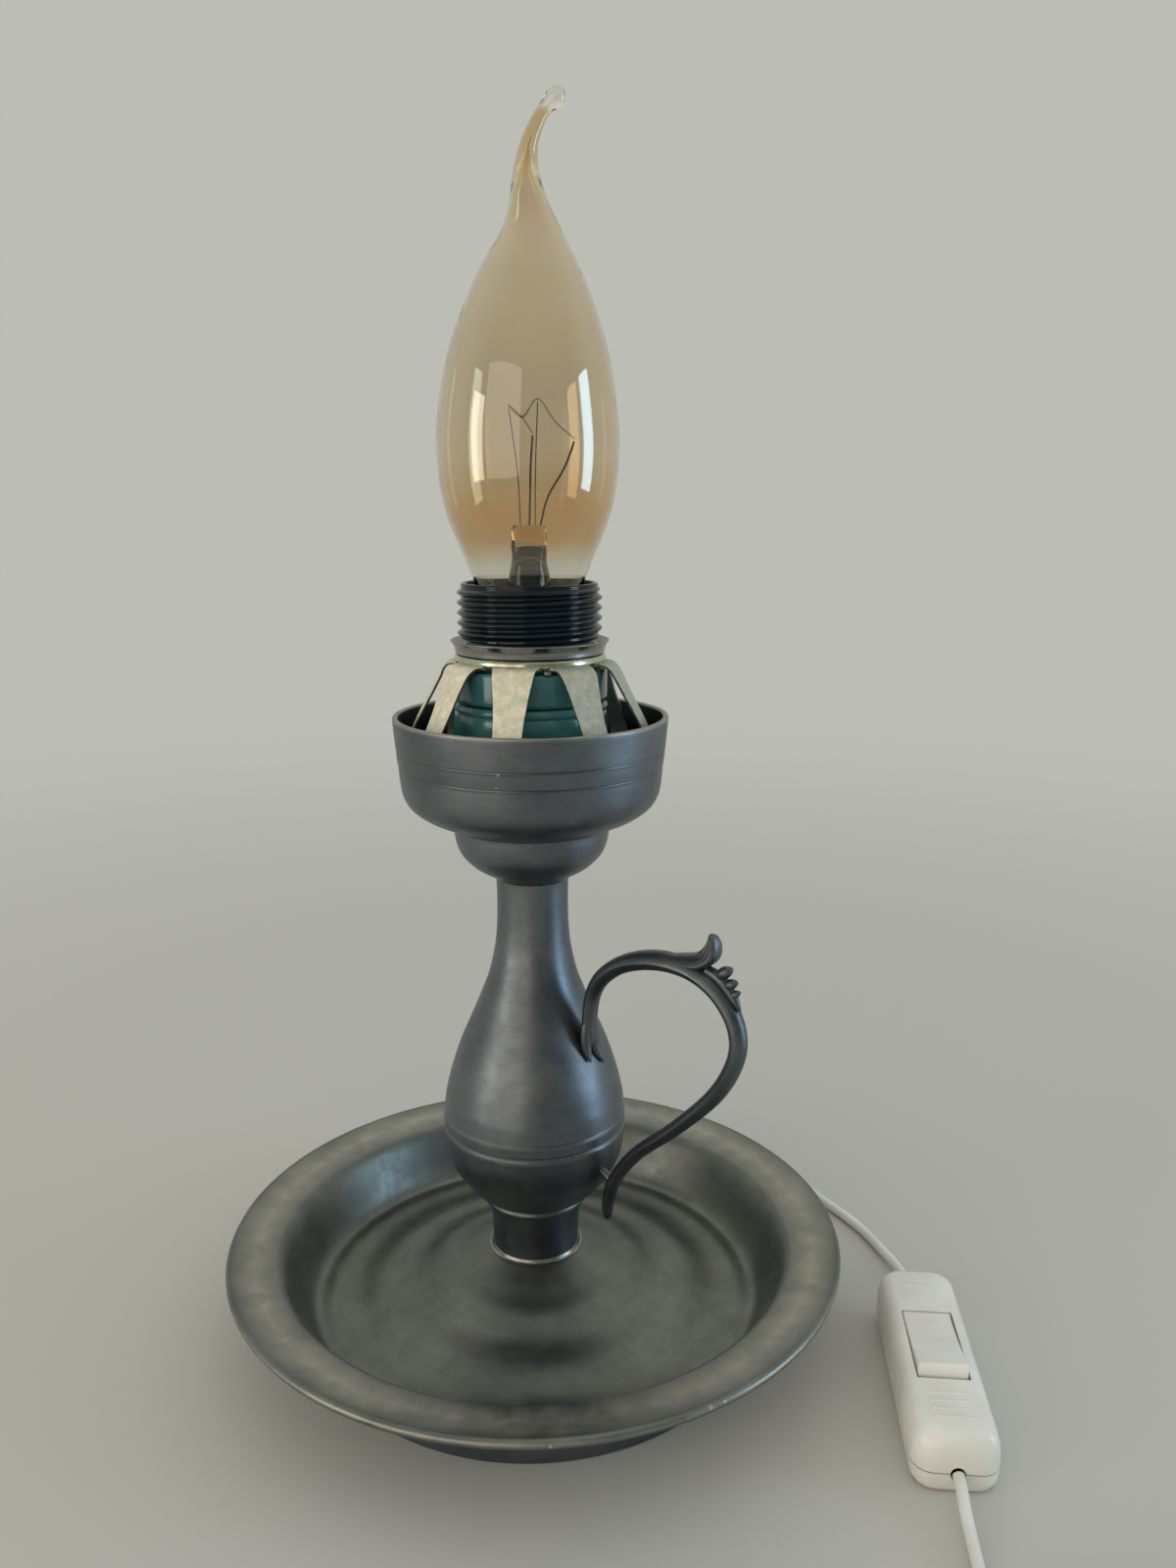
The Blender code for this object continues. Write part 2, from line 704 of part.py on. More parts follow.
def make_holder():
    height = HOLDER_BASE_HEIGHT
    outside = [
        (tube_clear_radius, holder_bottom),
        (HOLDER_BASE_FOOT_RADIUS, holder_bottom),
        (HOLDER_BASE_RADIUS - 1.6, holder_bottom + 0.10 * height),
        (HOLDER_BASE_RADIUS - 0.3, holder_bottom + 0.28 * height),
        (HOLDER_BASE_RADIUS, holder_bottom + 0.52 * height),
        (HOLDER_BASE_RADIUS - 0.5, holder_bottom + 0.78 * height),
        (HOLDER_BASE_TOP_RADIUS, holder_base_top - 0.4),
        (HOLDER_BASE_TOP_RADIUS - 0.3, holder_base_top),
    ]
    bore = HOLDER_BASE_TOP_RADIUS - HOLDER_WALL
    inside = [
        (bore, holder_base_top),
        (bore, holder_base_top - 2.5),
        (HOLDER_BASE_RADIUS - HOLDER_WALL - 0.5, holder_bottom + 0.7 * height),
        (HOLDER_BASE_RADIUS - HOLDER_WALL - 0.5, holder_bottom + HOLDER_FLOOR + 1.0),
        (HOLDER_BASE_RADIUS - HOLDER_WALL - 1.6, holder_bottom + HOLDER_FLOOR),
        (tube_clear_radius, holder_bottom + HOLDER_FLOOR),
    ]
    turned("holder_base", outside + inside, "dark_bakelite")

    bore = insert_radius + GAP
    mouth = THREAD_ROOT_RADIUS - SHELL_MOUTH_WALL
    shoulder = crown_bottom - SHELL_BODY_DROP
    outside = [
        (bore, shell_bottom),
        (SHELL_BODY_RADIUS - 0.6, shell_bottom),
        (SHELL_BODY_RADIUS, shell_bottom + 0.6),
        (SHELL_BODY_RADIUS, shoulder - 0.4),
        (SHELL_BODY_RADIUS - 0.4, shoulder),
        (SHELL_RADIUS, shoulder),
        (SHELL_RADIUS, thread_bottom - 0.3),
        (THREAD_ROOT_RADIUS, thread_bottom),
    ]
    for k in range(THREAD_CRESTS):
        crest = thread_bottom + (k + 0.5) * THREAD_PITCH
        outside.append((THREAD_CREST_RADIUS, crest))
        outside.append((THREAD_ROOT_RADIUS, crest + 0.5 * THREAD_PITCH))
    outside.append((THREAD_ROOT_RADIUS, shell_top))
    inside = [(mouth, shell_top), (mouth, thread_bottom + 1.5), (bore, thread_bottom)]
    turned("holder_shell", outside + inside, "dark_bakelite")

    insert_top = insert_bottom + INSERT_HEIGHT
    bore = screw_shell_outer + GAP
    floor = insert_bottom + INSERT_FLOOR
    profile = [
        (0, insert_bottom),
        (insert_radius, insert_bottom),
        (insert_radius, insert_top),
        (bore, insert_top),
        (bore, floor),
        (0, floor),
    ]
    turned("holder_insert", profile, "porcelain", closed=False)

    shell_low = bulb_bottom + CAP_TIP_HEIGHT + 1.2
    profile = ring_profile(screw_shell_inner, screw_shell_outer, shell_low, insert_top - 0.6)
    turned("screw_shell", profile, "plated_steel")

    half = CONTACT_WIDTH / 2
    top = contact_bottom + CONTACT_STRIP
    strip = block((-half, -half, contact_bottom), (screw_shell_outer - 1.2, half, top))
    add_piece("centre_contact", strip, "brass")
    reach = screw_shell_outer - 0.1
    strip = block((-reach, -1.2, contact_bottom), (-reach + 1.2, 1.2, shell_low - GAP))
    add_piece("side_contact", strip, "brass")

    screw_z = insert_bottom + 0.6 * INSERT_FLOOR
    well = HOLDER_BASE_RADIUS - HOLDER_WALL - 0.5
    for name, angle in (("terminal_screw_line", 90), ("terminal_screw_neutral", -90)):
        head = cylinder(
            TERMINAL_SCREW_RADIUS,
            radial(angle, insert_radius + GAP, screw_z),
            radial(angle, well - 0.5, screw_z),
            10,
        )
        add_piece(name, head, "brass")


def make_rings():
    """The flared ring under the thread and the spring crown with its claws."""
    bottom = flare_bottom
    neck = CROWN_BEAD_RADIUS - 0.1
    profile = [
        (crown_bore_radius, bottom),
        (neck, bottom),
        (neck + 0.1, bottom + FLARE_BAND),
        (FLARE_RADIUS, bottom + FLARE_HEIGHT - 0.3),
        (FLARE_RADIUS - 0.1, bottom + FLARE_HEIGHT),
        (neck - 0.2, bottom + FLARE_BAND + FLARE_SHEET),
        (crown_bore_radius, bottom + FLARE_BAND),
    ]
    turned("flare_ring", profile, "plated_steel")

    bead = CROWN_HEIGHT / 2
    profile = [
        (crown_bore_radius, crown_bottom),
        (CROWN_BEAD_RADIUS - 0.5, crown_bottom),
        (CROWN_BEAD_RADIUS, crown_bottom + 0.5 * bead),
        (CROWN_BEAD_RADIUS, crown_bottom + 1.5 * bead),
        (CROWN_BEAD_RADIUS - 0.5, crown_bottom + CROWN_HEIGHT),
        (crown_bore_radius, crown_bottom + CROWN_HEIGHT),
    ]
    crown = turned("claw_ring", profile, "zinc_steel")
    knee = crown_bottom - CLAW_KNEE_DROP
    tip = crown_bottom - CLAW_TIP_DROP
    tip_radius = cup_inside(tip)
    bow = tip_radius - math.sqrt(tip_radius**2 - (CLAW_TIP_WIDTH / 2) ** 2)
    rest = GAP + facet_sag(tip_radius, CUP_STEPS) + bow + CLAW_SHEET / 2
    path = [
        (CROWN_BEAD_RADIUS - 1.2, crown_bottom + 0.7, CLAW_TOP_WIDTH),
        (CROWN_BEAD_RADIUS + 0.7, crown_bottom - 0.1, CLAW_TOP_WIDTH),
        (CROWN_BEAD_RADIUS + 1.6, crown_bottom - 1.3, CLAW_TOP_WIDTH - 0.3),
        (cup_inside(knee) - rest - 0.5, knee, CLAW_TIP_WIDTH + 0.3),
        (tip_radius - rest, tip, CLAW_TIP_WIDTH),
    ]
    for k in range(CLAW_COUNT):
        turn = Matrix.Rotation(math.radians(CLAW_FIRST_ANGLE + 360 * k / CLAW_COUNT), 4, "Z")
        rings = []
        for i, (r, z, width) in enumerate(path):
            before = path[max(i - 1, 0)]
            after = path[min(i + 1, len(path) - 1)]
            along = Vector((after[0] - before[0], after[1] - before[1])).normalized()
            out = Vector((-along.y, along.x)) * CLAW_SHEET / 2
            if out.x < 0:
                out = -out
            rings.append(
                [
                    turn @ Vector((r + side * out.x, across * width / 2, z + side * out.y))
                    for side, across in ((1, -1), (1, 1), (-1, 1), (-1, -1))
                ]
            )
        combine(crown, helper(f"claw_{k}", loft(rings)), "UNION")


# Bulb: cap, glass with a bent tip, and the mount inside


def make_cap():
    tip = spin_profile(
        [
            (0, bulb_bottom),
            (0.7 * CAP_TIP_RADIUS, bulb_bottom),
            (CAP_TIP_RADIUS, bulb_bottom + 0.5 * CAP_TIP_HEIGHT),
            (CAP_TIP_RADIUS, bulb_bottom + CAP_TIP_HEIGHT),
            (0, bulb_bottom + CAP_TIP_HEIGHT),
        ],
        SMALL_STEPS,
        closed=False,
    )
    add_piece("cap_contact", tip, "plated_steel")

    mouth = CAP_RADIUS - 1.5
    low = bulb_bottom + CAP_TIP_HEIGHT + GAP
    profile = [
        (0, low),
        (CAP_TIP_RADIUS + 0.3, low),
        (mouth - GAP, cap_bottom),
        (mouth - GAP, cap_bottom + 1.6),
        (0, cap_bottom + 1.6),
    ]
    turned("cap_insulator", profile, "black_glass", SMALL_STEPS, closed=False)

    skirt_bottom = cap_top - CAP_SKIRT_HEIGHT
    outside = [
        (mouth, cap_bottom),
        (CAP_RADIUS - 0.7, cap_bottom),
        (CAP_RADIUS, cap_bottom + 0.8),
        (CAP_RADIUS, cap_thread_top),
        (CAP_SKIRT_RADIUS, skirt_bottom),
        (CAP_SKIRT_RADIUS, cap_top),
    ]
    inside = [
        (CAP_SKIRT_RADIUS - CAP_WALL, cap_top),
        (CAP_SKIRT_RADIUS - CAP_WALL, skirt_bottom + 0.2),
        (CAP_RADIUS - CAP_WALL, cap_thread_top + 0.3),
        (CAP_RADIUS - CAP_WALL, cap_bottom + 1.0),
        (mouth, cap_bottom + 0.5),
    ]
    turned("bulb_cap", outside + inside, "plated_steel", BULB_STEPS)


neck_radius = CAP_SKIRT_RADIUS - CAP_WALL - GAP

# The glass's outline: share of the widest radius and of the height above its
# bottom, with the tail's lean to one side in millimetres
GLASS_OUTLINE = (
    (0.630, 0.131, 0.0),
    (0.840, 0.220, 0.0),
    (0.974, 0.308, 0.0),
    (1.000, 0.372, 0.0),
    (0.963, 0.458, 0.0),
    (0.834, 0.562, 0.35),
    (0.660, 0.644, 0.60),
    (0.415, 0.725, 0.78),
    (0.257, 0.780, 0.40),
    (0.175, 0.825, 0.15),
    (0.128, 0.865, 0.15),
    (0.110, 0.900, 0.55),
    (0.100, 0.924, 1.20),
    (0.095, 0.946, 2.10),
    (0.092, 0.964, 3.30),
    (0.101, 0.981, 4.70),
    (0.072, 0.994, 5.30),
)


def make_glass():
    outer = [(neck_radius, glass_bottom, 0.0), (neck_radius, cap_top + 0.2, 0.0)]
    outer += [
        (share * GLASS_RADIUS, glass_bottom + height * GLASS_HEIGHT, lean)
        for share, height, lean in GLASS_OUTLINE
    ]
    hollow = [p for p in outer if p[0] > 3.2 * GLASS_WALL]
    steps = BULB_STEPS

    def ring(radius, z, lean):
        return [radial(360 * k / steps, radius, z) + Vector((lean, 0, 0)) for k in range(steps)]

    bm = bmesh.new()
    outside = [[bm.verts.new(p) for p in ring(*row)] for row in outer]
    inside = [
        [bm.verts.new(p) for p in ring(r - GLASS_WALL, z, lean)]
        for r, z, lean in reversed(hollow)
    ]
    for low, high in zip(outside + [None], outside[1:]):
        for i in range(steps):
            j = (i + 1) % steps
            bm.faces.new((low[i], low[j], high[j], high[i]))
    for low, high in zip(inside, inside[1:]):
        for i in range(steps):
            j = (i + 1) % steps
            bm.faces.new((low[i], low[j], high[j], high[i]))
    for i in range(steps):
        j = (i + 1) % steps
        bm.faces.new((inside[-1][i], inside[-1][j], outside[0][j], outside[0][i]))
    bm.faces.new(outside[-1])
    bm.faces.new(inside[0])
    add_piece("bulb_glass", bm, "amber_glass")


pinch_height = glass_bottom + 0.232 * GLASS_HEIGHT


def make_mount():
    """The flared glass stem with its lead wires, hooks and filament."""
    base = glass_bottom + 0.6
    foot = neck_radius - GLASS_WALL - GAP
    outline = [
        (foot, base),
        (foot, base + 1.0),
        (0.62 * foot, base + 5.0),
        (0.62 * foot, pinch_height - 9.0),
        (0.44 * foot, pinch_height - 4.0),
        (0.42 * foot, pinch_height),
    ]
    bm = spin_profile([(0, base)] + outline + [(0, pinch_height)], 12, closed=False)
    for v in bm.verts:
        squeeze = blend_cosine((v.co.z - pinch_height + 6.0) / 4.0)
        v.co.y *= 1 - 0.45 * squeeze
    add_piece("glass_stem", bm, "clear_glass")

    start = pinch_height + GAP
    left_top = Vector((0.85, 0.0, pinch_height + 16.4))
    right_top = Vector((8.6, 0.0, pinch_height + 15.3))
    wires = {
        "lead_wire_left": [(0.1, 0, start), (0.3, 0, start + 6), left_top],
        "lead_wire_right": [
            (2.2, 0, start),
            (3.6, 0, start + 5),
            (6.8, 0, start + 10.5),
            right_top,
        ],
        "hook_wire_left": [
            (-1.6, 0.2, start),
            (-2.0, 2.0, start + 9),
            (-3.6, 4.2, start + 21.4),
        ],
        "hook_wire_right": [
            (1.2, -0.3, start),
            (1.3, -2.2, start + 9),
            (1.8, -4.2, start + 21.9),
        ],
    }
    for name, points in wires.items():
        tube(name, smooth_path(points, 3), WIRE_RADIUS, "plated_steel", 0)
    clear = 2 * WIRE_RADIUS + 4 * GAP
    hook_a = Vector(wires["hook_wire_left"][-1]) + Vector((0, 0, clear))
    hook_b = Vector(wires["hook_wire_right"][-1]) + Vector((0, 0, clear))
    touch = Vector((0, 0, 2 * WIRE_RADIUS + GAP))
    filament = [left_top + touch, hook_a, hook_b, right_top + touch]
    tube("filament", smooth_path(filament, 4), WIRE_RADIUS, "tungsten", 0)


# Scroll handle with its leaf foot, thumb-piece and lug


def handle_point(out, up):
    """A point in the handle's plane, from the stem's axis and the table."""
    return radial(HANDLE_ANGLE, out, up)


def make_handle():
    leaf = upper_bottom + LEAF_HEIGHT
    # Distance from the belly or the axis, height, width across the plane and depth in it.
    # The free scroll starts from the widest circle of the belly.
    scroll = [
        (-3.0, 31.6, 4.6, 3.2),
        (-0.4, 36.2, 4.6, 3.4),
        (5.3, 40.2, 4.9, 3.5),
        (13.1, 42.6, 5.2, 3.6),
        (20.6, 42.3, 5.2, 3.8),
        (26.6, 39.2, 5.0, 3.8),
        (30.3, 33.6, 4.8, 3.8),
        (30.5, 27.4, 4.8, 3.8),
        (26.4, 19.2, 4.6, 3.6),
        (17.5, 9.5, 4.4, 3.4),
        (8.1, 0.9, 4.4, 3.2),
    ]
    # The scroll and its leaf are drawn in this unit
    unit = HANDLE_REACH / max(row[0] for row in scroll)
    rise = leaf + 4.0 * unit
    bend = leaf + 9.0 * unit
    seats = [
        (upper_radius(leaf) + GAP + 0.9 * unit, leaf, 3.0 * unit, 1.0 * unit),
        (upper_radius(rise) + GAP + 1.6 * unit, rise, 5.0 * unit, 1.8 * unit),
        (upper_radius(bend) + GAP + 3.2 * unit, bend, 4.8 * unit, 2.6 * unit),
    ]
    lug_height = seam - LUG_DROP
    lug_seat = lower_radius(lug_height + LUG_RADIUS) + GAP
    lug_out = lug_seat + 2.9 * unit
    tail = [
        (0.7, 1.2, 4.2, 2.8),
        (-1.0, -4.4, 3.4, 2.2),
        (-1.3, -9.8, 1.5, 1.2),
    ]
    rows = seats
    for start_out, start_up, part in ((BELLY_RADIUS, seam, scroll), (lug_out, lug_height, tail)):
        for row in part:
            o, u, w, d = (unit * value for value in row)
            rows.append((start_out + o, start_up + u, w, d))
    dense = smooth_path([(o, u, 0) for o, u, w, d in rows], 2)
    widths = smooth_path([(w, d, 0) for o, u, w, d in rows], 2)
    across = Vector((math.sin(math.radians(HANDLE_ANGLE)), -math.cos(math.radians(HANDLE_ANGLE)), 0))
    rings = []
    for i, (p, size) in enumerate(zip(dense, widths)):
        along = (dense[min(i + 1, len(dense) - 1)] - dense[max(i - 1, 0)]).normalized()
        normal = Vector((-along.y, along.x))
        ring = []
        for k in range(HANDLE_SIDES):
            a = 2 * math.pi * k / HANDLE_SIDES
            shift = normal * (math.cos(a) * size.y / 2)
            ring.append(
                handle_point(p.x + shift.x, p.y + shift.y) + across * (math.sin(a) * size.x / 2)
            )
        rings.append(ring)
    handle = add_piece("handle", loft(rings), "pewter")

    lug = cylinder(
        LUG_RADIUS, handle_point(lug_seat, lug_height), handle_point(lug_out, lug_height), 8
    )
    combine(handle, helper("lug", lug), "UNION")

    # Thumb-piece: a leaf that curls up and back, with two beads behind it
    curl = [
        (17.0, 42.9, 3.6, 1.8),
        (20.6, 44.6, 4.4, 2.6),
        (23.4, 46.4, 4.6, 2.8),
        (24.7, 48.4, 3.6, 1.8),
        (24.4, 49.9, 1.6, 0.8),
    ]
    curl = [tuple(unit * value for value in row) for row in curl]
    rings = []
    for i, (out, up, width, depth) in enumerate(curl):
        ahead = curl[min(i + 1, len(curl) - 1)]
        behind = curl[max(i - 1, 0)]
        along = Vector((ahead[0] - behind[0], ahead[1] - behind[1])).normalized()
        normal = Vector((-along.y, along.x))
        ring = []
        for k in range(HANDLE_SIDES):
            a = 2 * math.pi * k / HANDLE_SIDES
            shift = normal * (math.cos(a) * depth / 2)
            p = handle_point(BELLY_RADIUS + out + shift.x, seam + up + shift.y)
            ring.append(p + across * (math.sin(a) * width / 2))
        rings.append(ring)
    combine(handle, helper("thumb_leaf", loft(rings)), "UNION")
    for name, out, up, radius in (("bead_top", 27.7, 43.9, 1.8), ("bead_low", 28.6, 41.1, 1.7)):
        bm = bmesh.new()
        bmesh.ops.create_icosphere(bm, subdivisions=2, radius=radius * unit)
        middle = handle_point(BELLY_RADIUS + out * unit, seam + up * unit)
        bm.transform(Matrix.Translation(middle))
        combine(handle, helper(name, bm), "UNION")


# Lead: the length held inside, the two free stretches, the coil and its tie


def switch_end(side, beyond=0.0, height=SWITCH_SPLIT):
    """A point on the lead's line past one end of the switch, -1 lamp, 1 plug."""
    a = math.radians(SWITCH_ANGLE)
    reach = side * (SWITCH_LENGTH / 2 + GAP + beyond)
    return Vector(
        (SWITCH_PLACE[0] + reach * math.cos(a), SWITCH_PLACE[1] + reach * math.sin(a), height)
    )


COIL_CENTRE = (89.3, -109.0)
coil_step = CORD_DIAMETER + COIL_SPACING
coil_reach = coil_step * COIL_TURNS / COIL_LAYERS
coil_outer = COIL_MID_RADIUS + coil_reach / 2
coil_floor = CORD_DIAMETER / 2 + COIL_LIFT


def coil_points():
    """Piled loops: the radius runs in and out steadily, a layer each way."""
    points = []
    steps = 24
    count = round(COIL_TURNS * steps)
    layer_turns = COIL_TURNS / COIL_LAYERS
    for k in range(count + 1):
        turns = k / steps
        position = turns / layer_turns
        layer = min(int(position), COIL_LAYERS - 1)
        share = position - layer
        inward = share if layer % 2 == 0 else 1 - share
        radius = coil_outer - coil_reach * inward
        rise = 0.0
        for change in range(1, COIL_LAYERS):
            rise += min(max((turns - change * layer_turns) / 0.5 + 0.5, 0.0), 1.0)
        angle = 180 + 360 * turns
        point = radial(angle, radius, coil_floor + coil_step * rise)
        points.append(point + Vector((*COIL_CENTRE, 0)))
    start = points[0] + Vector((0, CORD_DIAMETER, 0))
    end = points[-1] + Vector((-CORD_DIAMETER, 0, 0))
    return [start] + points + [end]


def least_coil_gap(points):
    """The least clear distance between stretches of the coil over half a turn apart."""
    least = 1e9
    for i, a in enumerate(points):
        for b in points[i + 12:]:
            least = min(least, (a - b).length)
    return least - CORD_DIAMETER


floor_line = CORD_DIAMETER / 2 + 0.05


def on_table(points):
    """A smooth route whose points never go below the line of a lead that lies."""
    dense = smooth_path(points, 8)
    return [Vector((p.x, p.y, max(p.z, floor_line))) for p in dense]


def make_lead(tube_bottom, tube_top):
    start = radial(EXIT_ANGLE, relief_start - GAP, relief_height)
    low = max(floor_line + 0.6, relief_height - 0.9)
    inner = [
        start,
        radial(EXIT_ANGLE, relief_start - 4, relief_height),
        radial(EXIT_ANGLE, 28, low),
        radial(EXIT_ANGLE, 15, low),
        radial(EXIT_ANGLE, 6.5, low + 1.2),
        radial(EXIT_ANGLE, 1.8, tube_bottom - 1.0),
        Vector((0, 0, tube_bottom + 7)),
        Vector((0, 0, (tube_bottom + tube_top) / 2)),
        Vector((0, 0, insert_bottom - GAP)),
    ]
    tube("inner_cord", spaced(smooth_path(inner, 8), 7.0), CORD_DIAMETER / 2, "white_flex")

    route = [
        radial(EXIT_ANGLE, relief_end + GAP, relief_height),
        radial(EXIT_ANGLE, relief_end + 3, relief_height - 0.2),
        (50.5, 59.3, floor_line + 0.8),
        (56.6, 61.0, floor_line),
        (62.4, 57.4, floor_line),
        (66.8, 49.6, floor_line),
        (71.2, 40.3, floor_line),
        (75.4, 32.4, floor_line),
        (78.6, 25.0, floor_line),
        (80.9, 16.2, floor_line + 0.2),
        (81.9, 8.6, floor_line + 1.2),
        switch_end(-1, 5.0, SWITCH_SPLIT - 0.6),
        switch_end(-1, CORD_DIAMETER),
        switch_end(-1),
    ]
    lead = spaced(on_table(route), 2.4 * CORD_DIAMETER)
    tube("cord_lead", lead, CORD_DIAMETER / 2, "white_flex")

    coil = coil_points()
    meet = coil[0] + Vector((0, GAP, 0))
    route = [
        switch_end(1),
        switch_end(1, CORD_DIAMETER),
        switch_end(1, 8.0, SWITCH_SPLIT - 1.6),
        (71.6, -78.0, floor_line),
        (70.6, -88.0, floor_line),
        meet + Vector((0, 8.0, -0.5 * COIL_LIFT)),
        meet + Vector((0, CORD_DIAMETER, 0)),
        meet,
    ]
    tail = spaced(on_table(route), 2.4 * CORD_DIAMETER)
    tube("cord_tail", tail, CORD_DIAMETER / 2, "white_flex")
    tube("cord_coil", coil, CORD_DIAMETER / 2, "white_flex", 1)

    leave = coil[-1] + Vector((-GAP, 0, 0))
    plug_x = PLUG_PLACE[0] + PLUG_RELIEF_LENGTH + GAP
    axis_height = PLUG_THICKNESS / 2
    route = [
        leave,
        leave + Vector((-CORD_DIAMETER, 0, 0)),
        (79.0, leave.y - 0.2, leave.z - 1.2),
        (71.0, leave.y - 1.6, 5.2),
        (64.6, leave.y - 5.0, 2.2),
        (61.0, leave.y - 11.0, floor_line),
        (60.0, leave.y - 16.5, 1.6),
        (plug_x + CORD_DIAMETER + 4.6, PLUG_PLACE[1] + 2.2, axis_height - 2.6),
        (plug_x + CORD_DIAMETER, PLUG_PLACE[1], axis_height),
        (plug_x, PLUG_PLACE[1], axis_height),
    ]
    plug_lead = spaced(on_table(route), 2.4 * CORD_DIAMETER)
    tube("plug_lead", plug_lead, CORD_DIAMETER / 2, "white_flex")

    free = sum(path_length(p) for p in (lead, tail, coil, plug_lead))
    print(f"coil least gap {least_coil_gap(coil):.3f} mm, free lead {free:.0f} mm")


def make_tie():
    """A flat band round the coil's turns, closed on itself."""
    inner_radius = coil_outer - coil_reach - CORD_DIAMETER / 2 - GAP
    outer_radius = coil_outer + CORD_DIAMETER / 2 + GAP
    top = coil_floor + (COIL_LAYERS - 1) * coil_step + CORD_DIAMETER / 2 + GAP
    middle = (inner_radius + outer_radius) / 2
    width = outer_radius - inner_radius + 2 * TIE_SHEET
    frame = add_frame("tie_frame", (*COIL_CENTRE, 0), TIE_ANGLE)
    band = block(
        (middle - width / 2, -TIE_WIDTH / 2, 0.02), (middle + width / 2, TIE_WIDTH / 2, top + TIE_SHEET)
    )
    tie = add_piece("coil_tie", band, "white_plastic", frame)
    hole = block((inner_radius, -TIE_WIDTH, TIE_SHEET), (outer_radius, TIE_WIDTH, top))
    combine(tie, helper("tie_hole", hole, frame), "DIFFERENCE")


# In-line switch: base, cover, rocker on its pin and the rocking contact blade


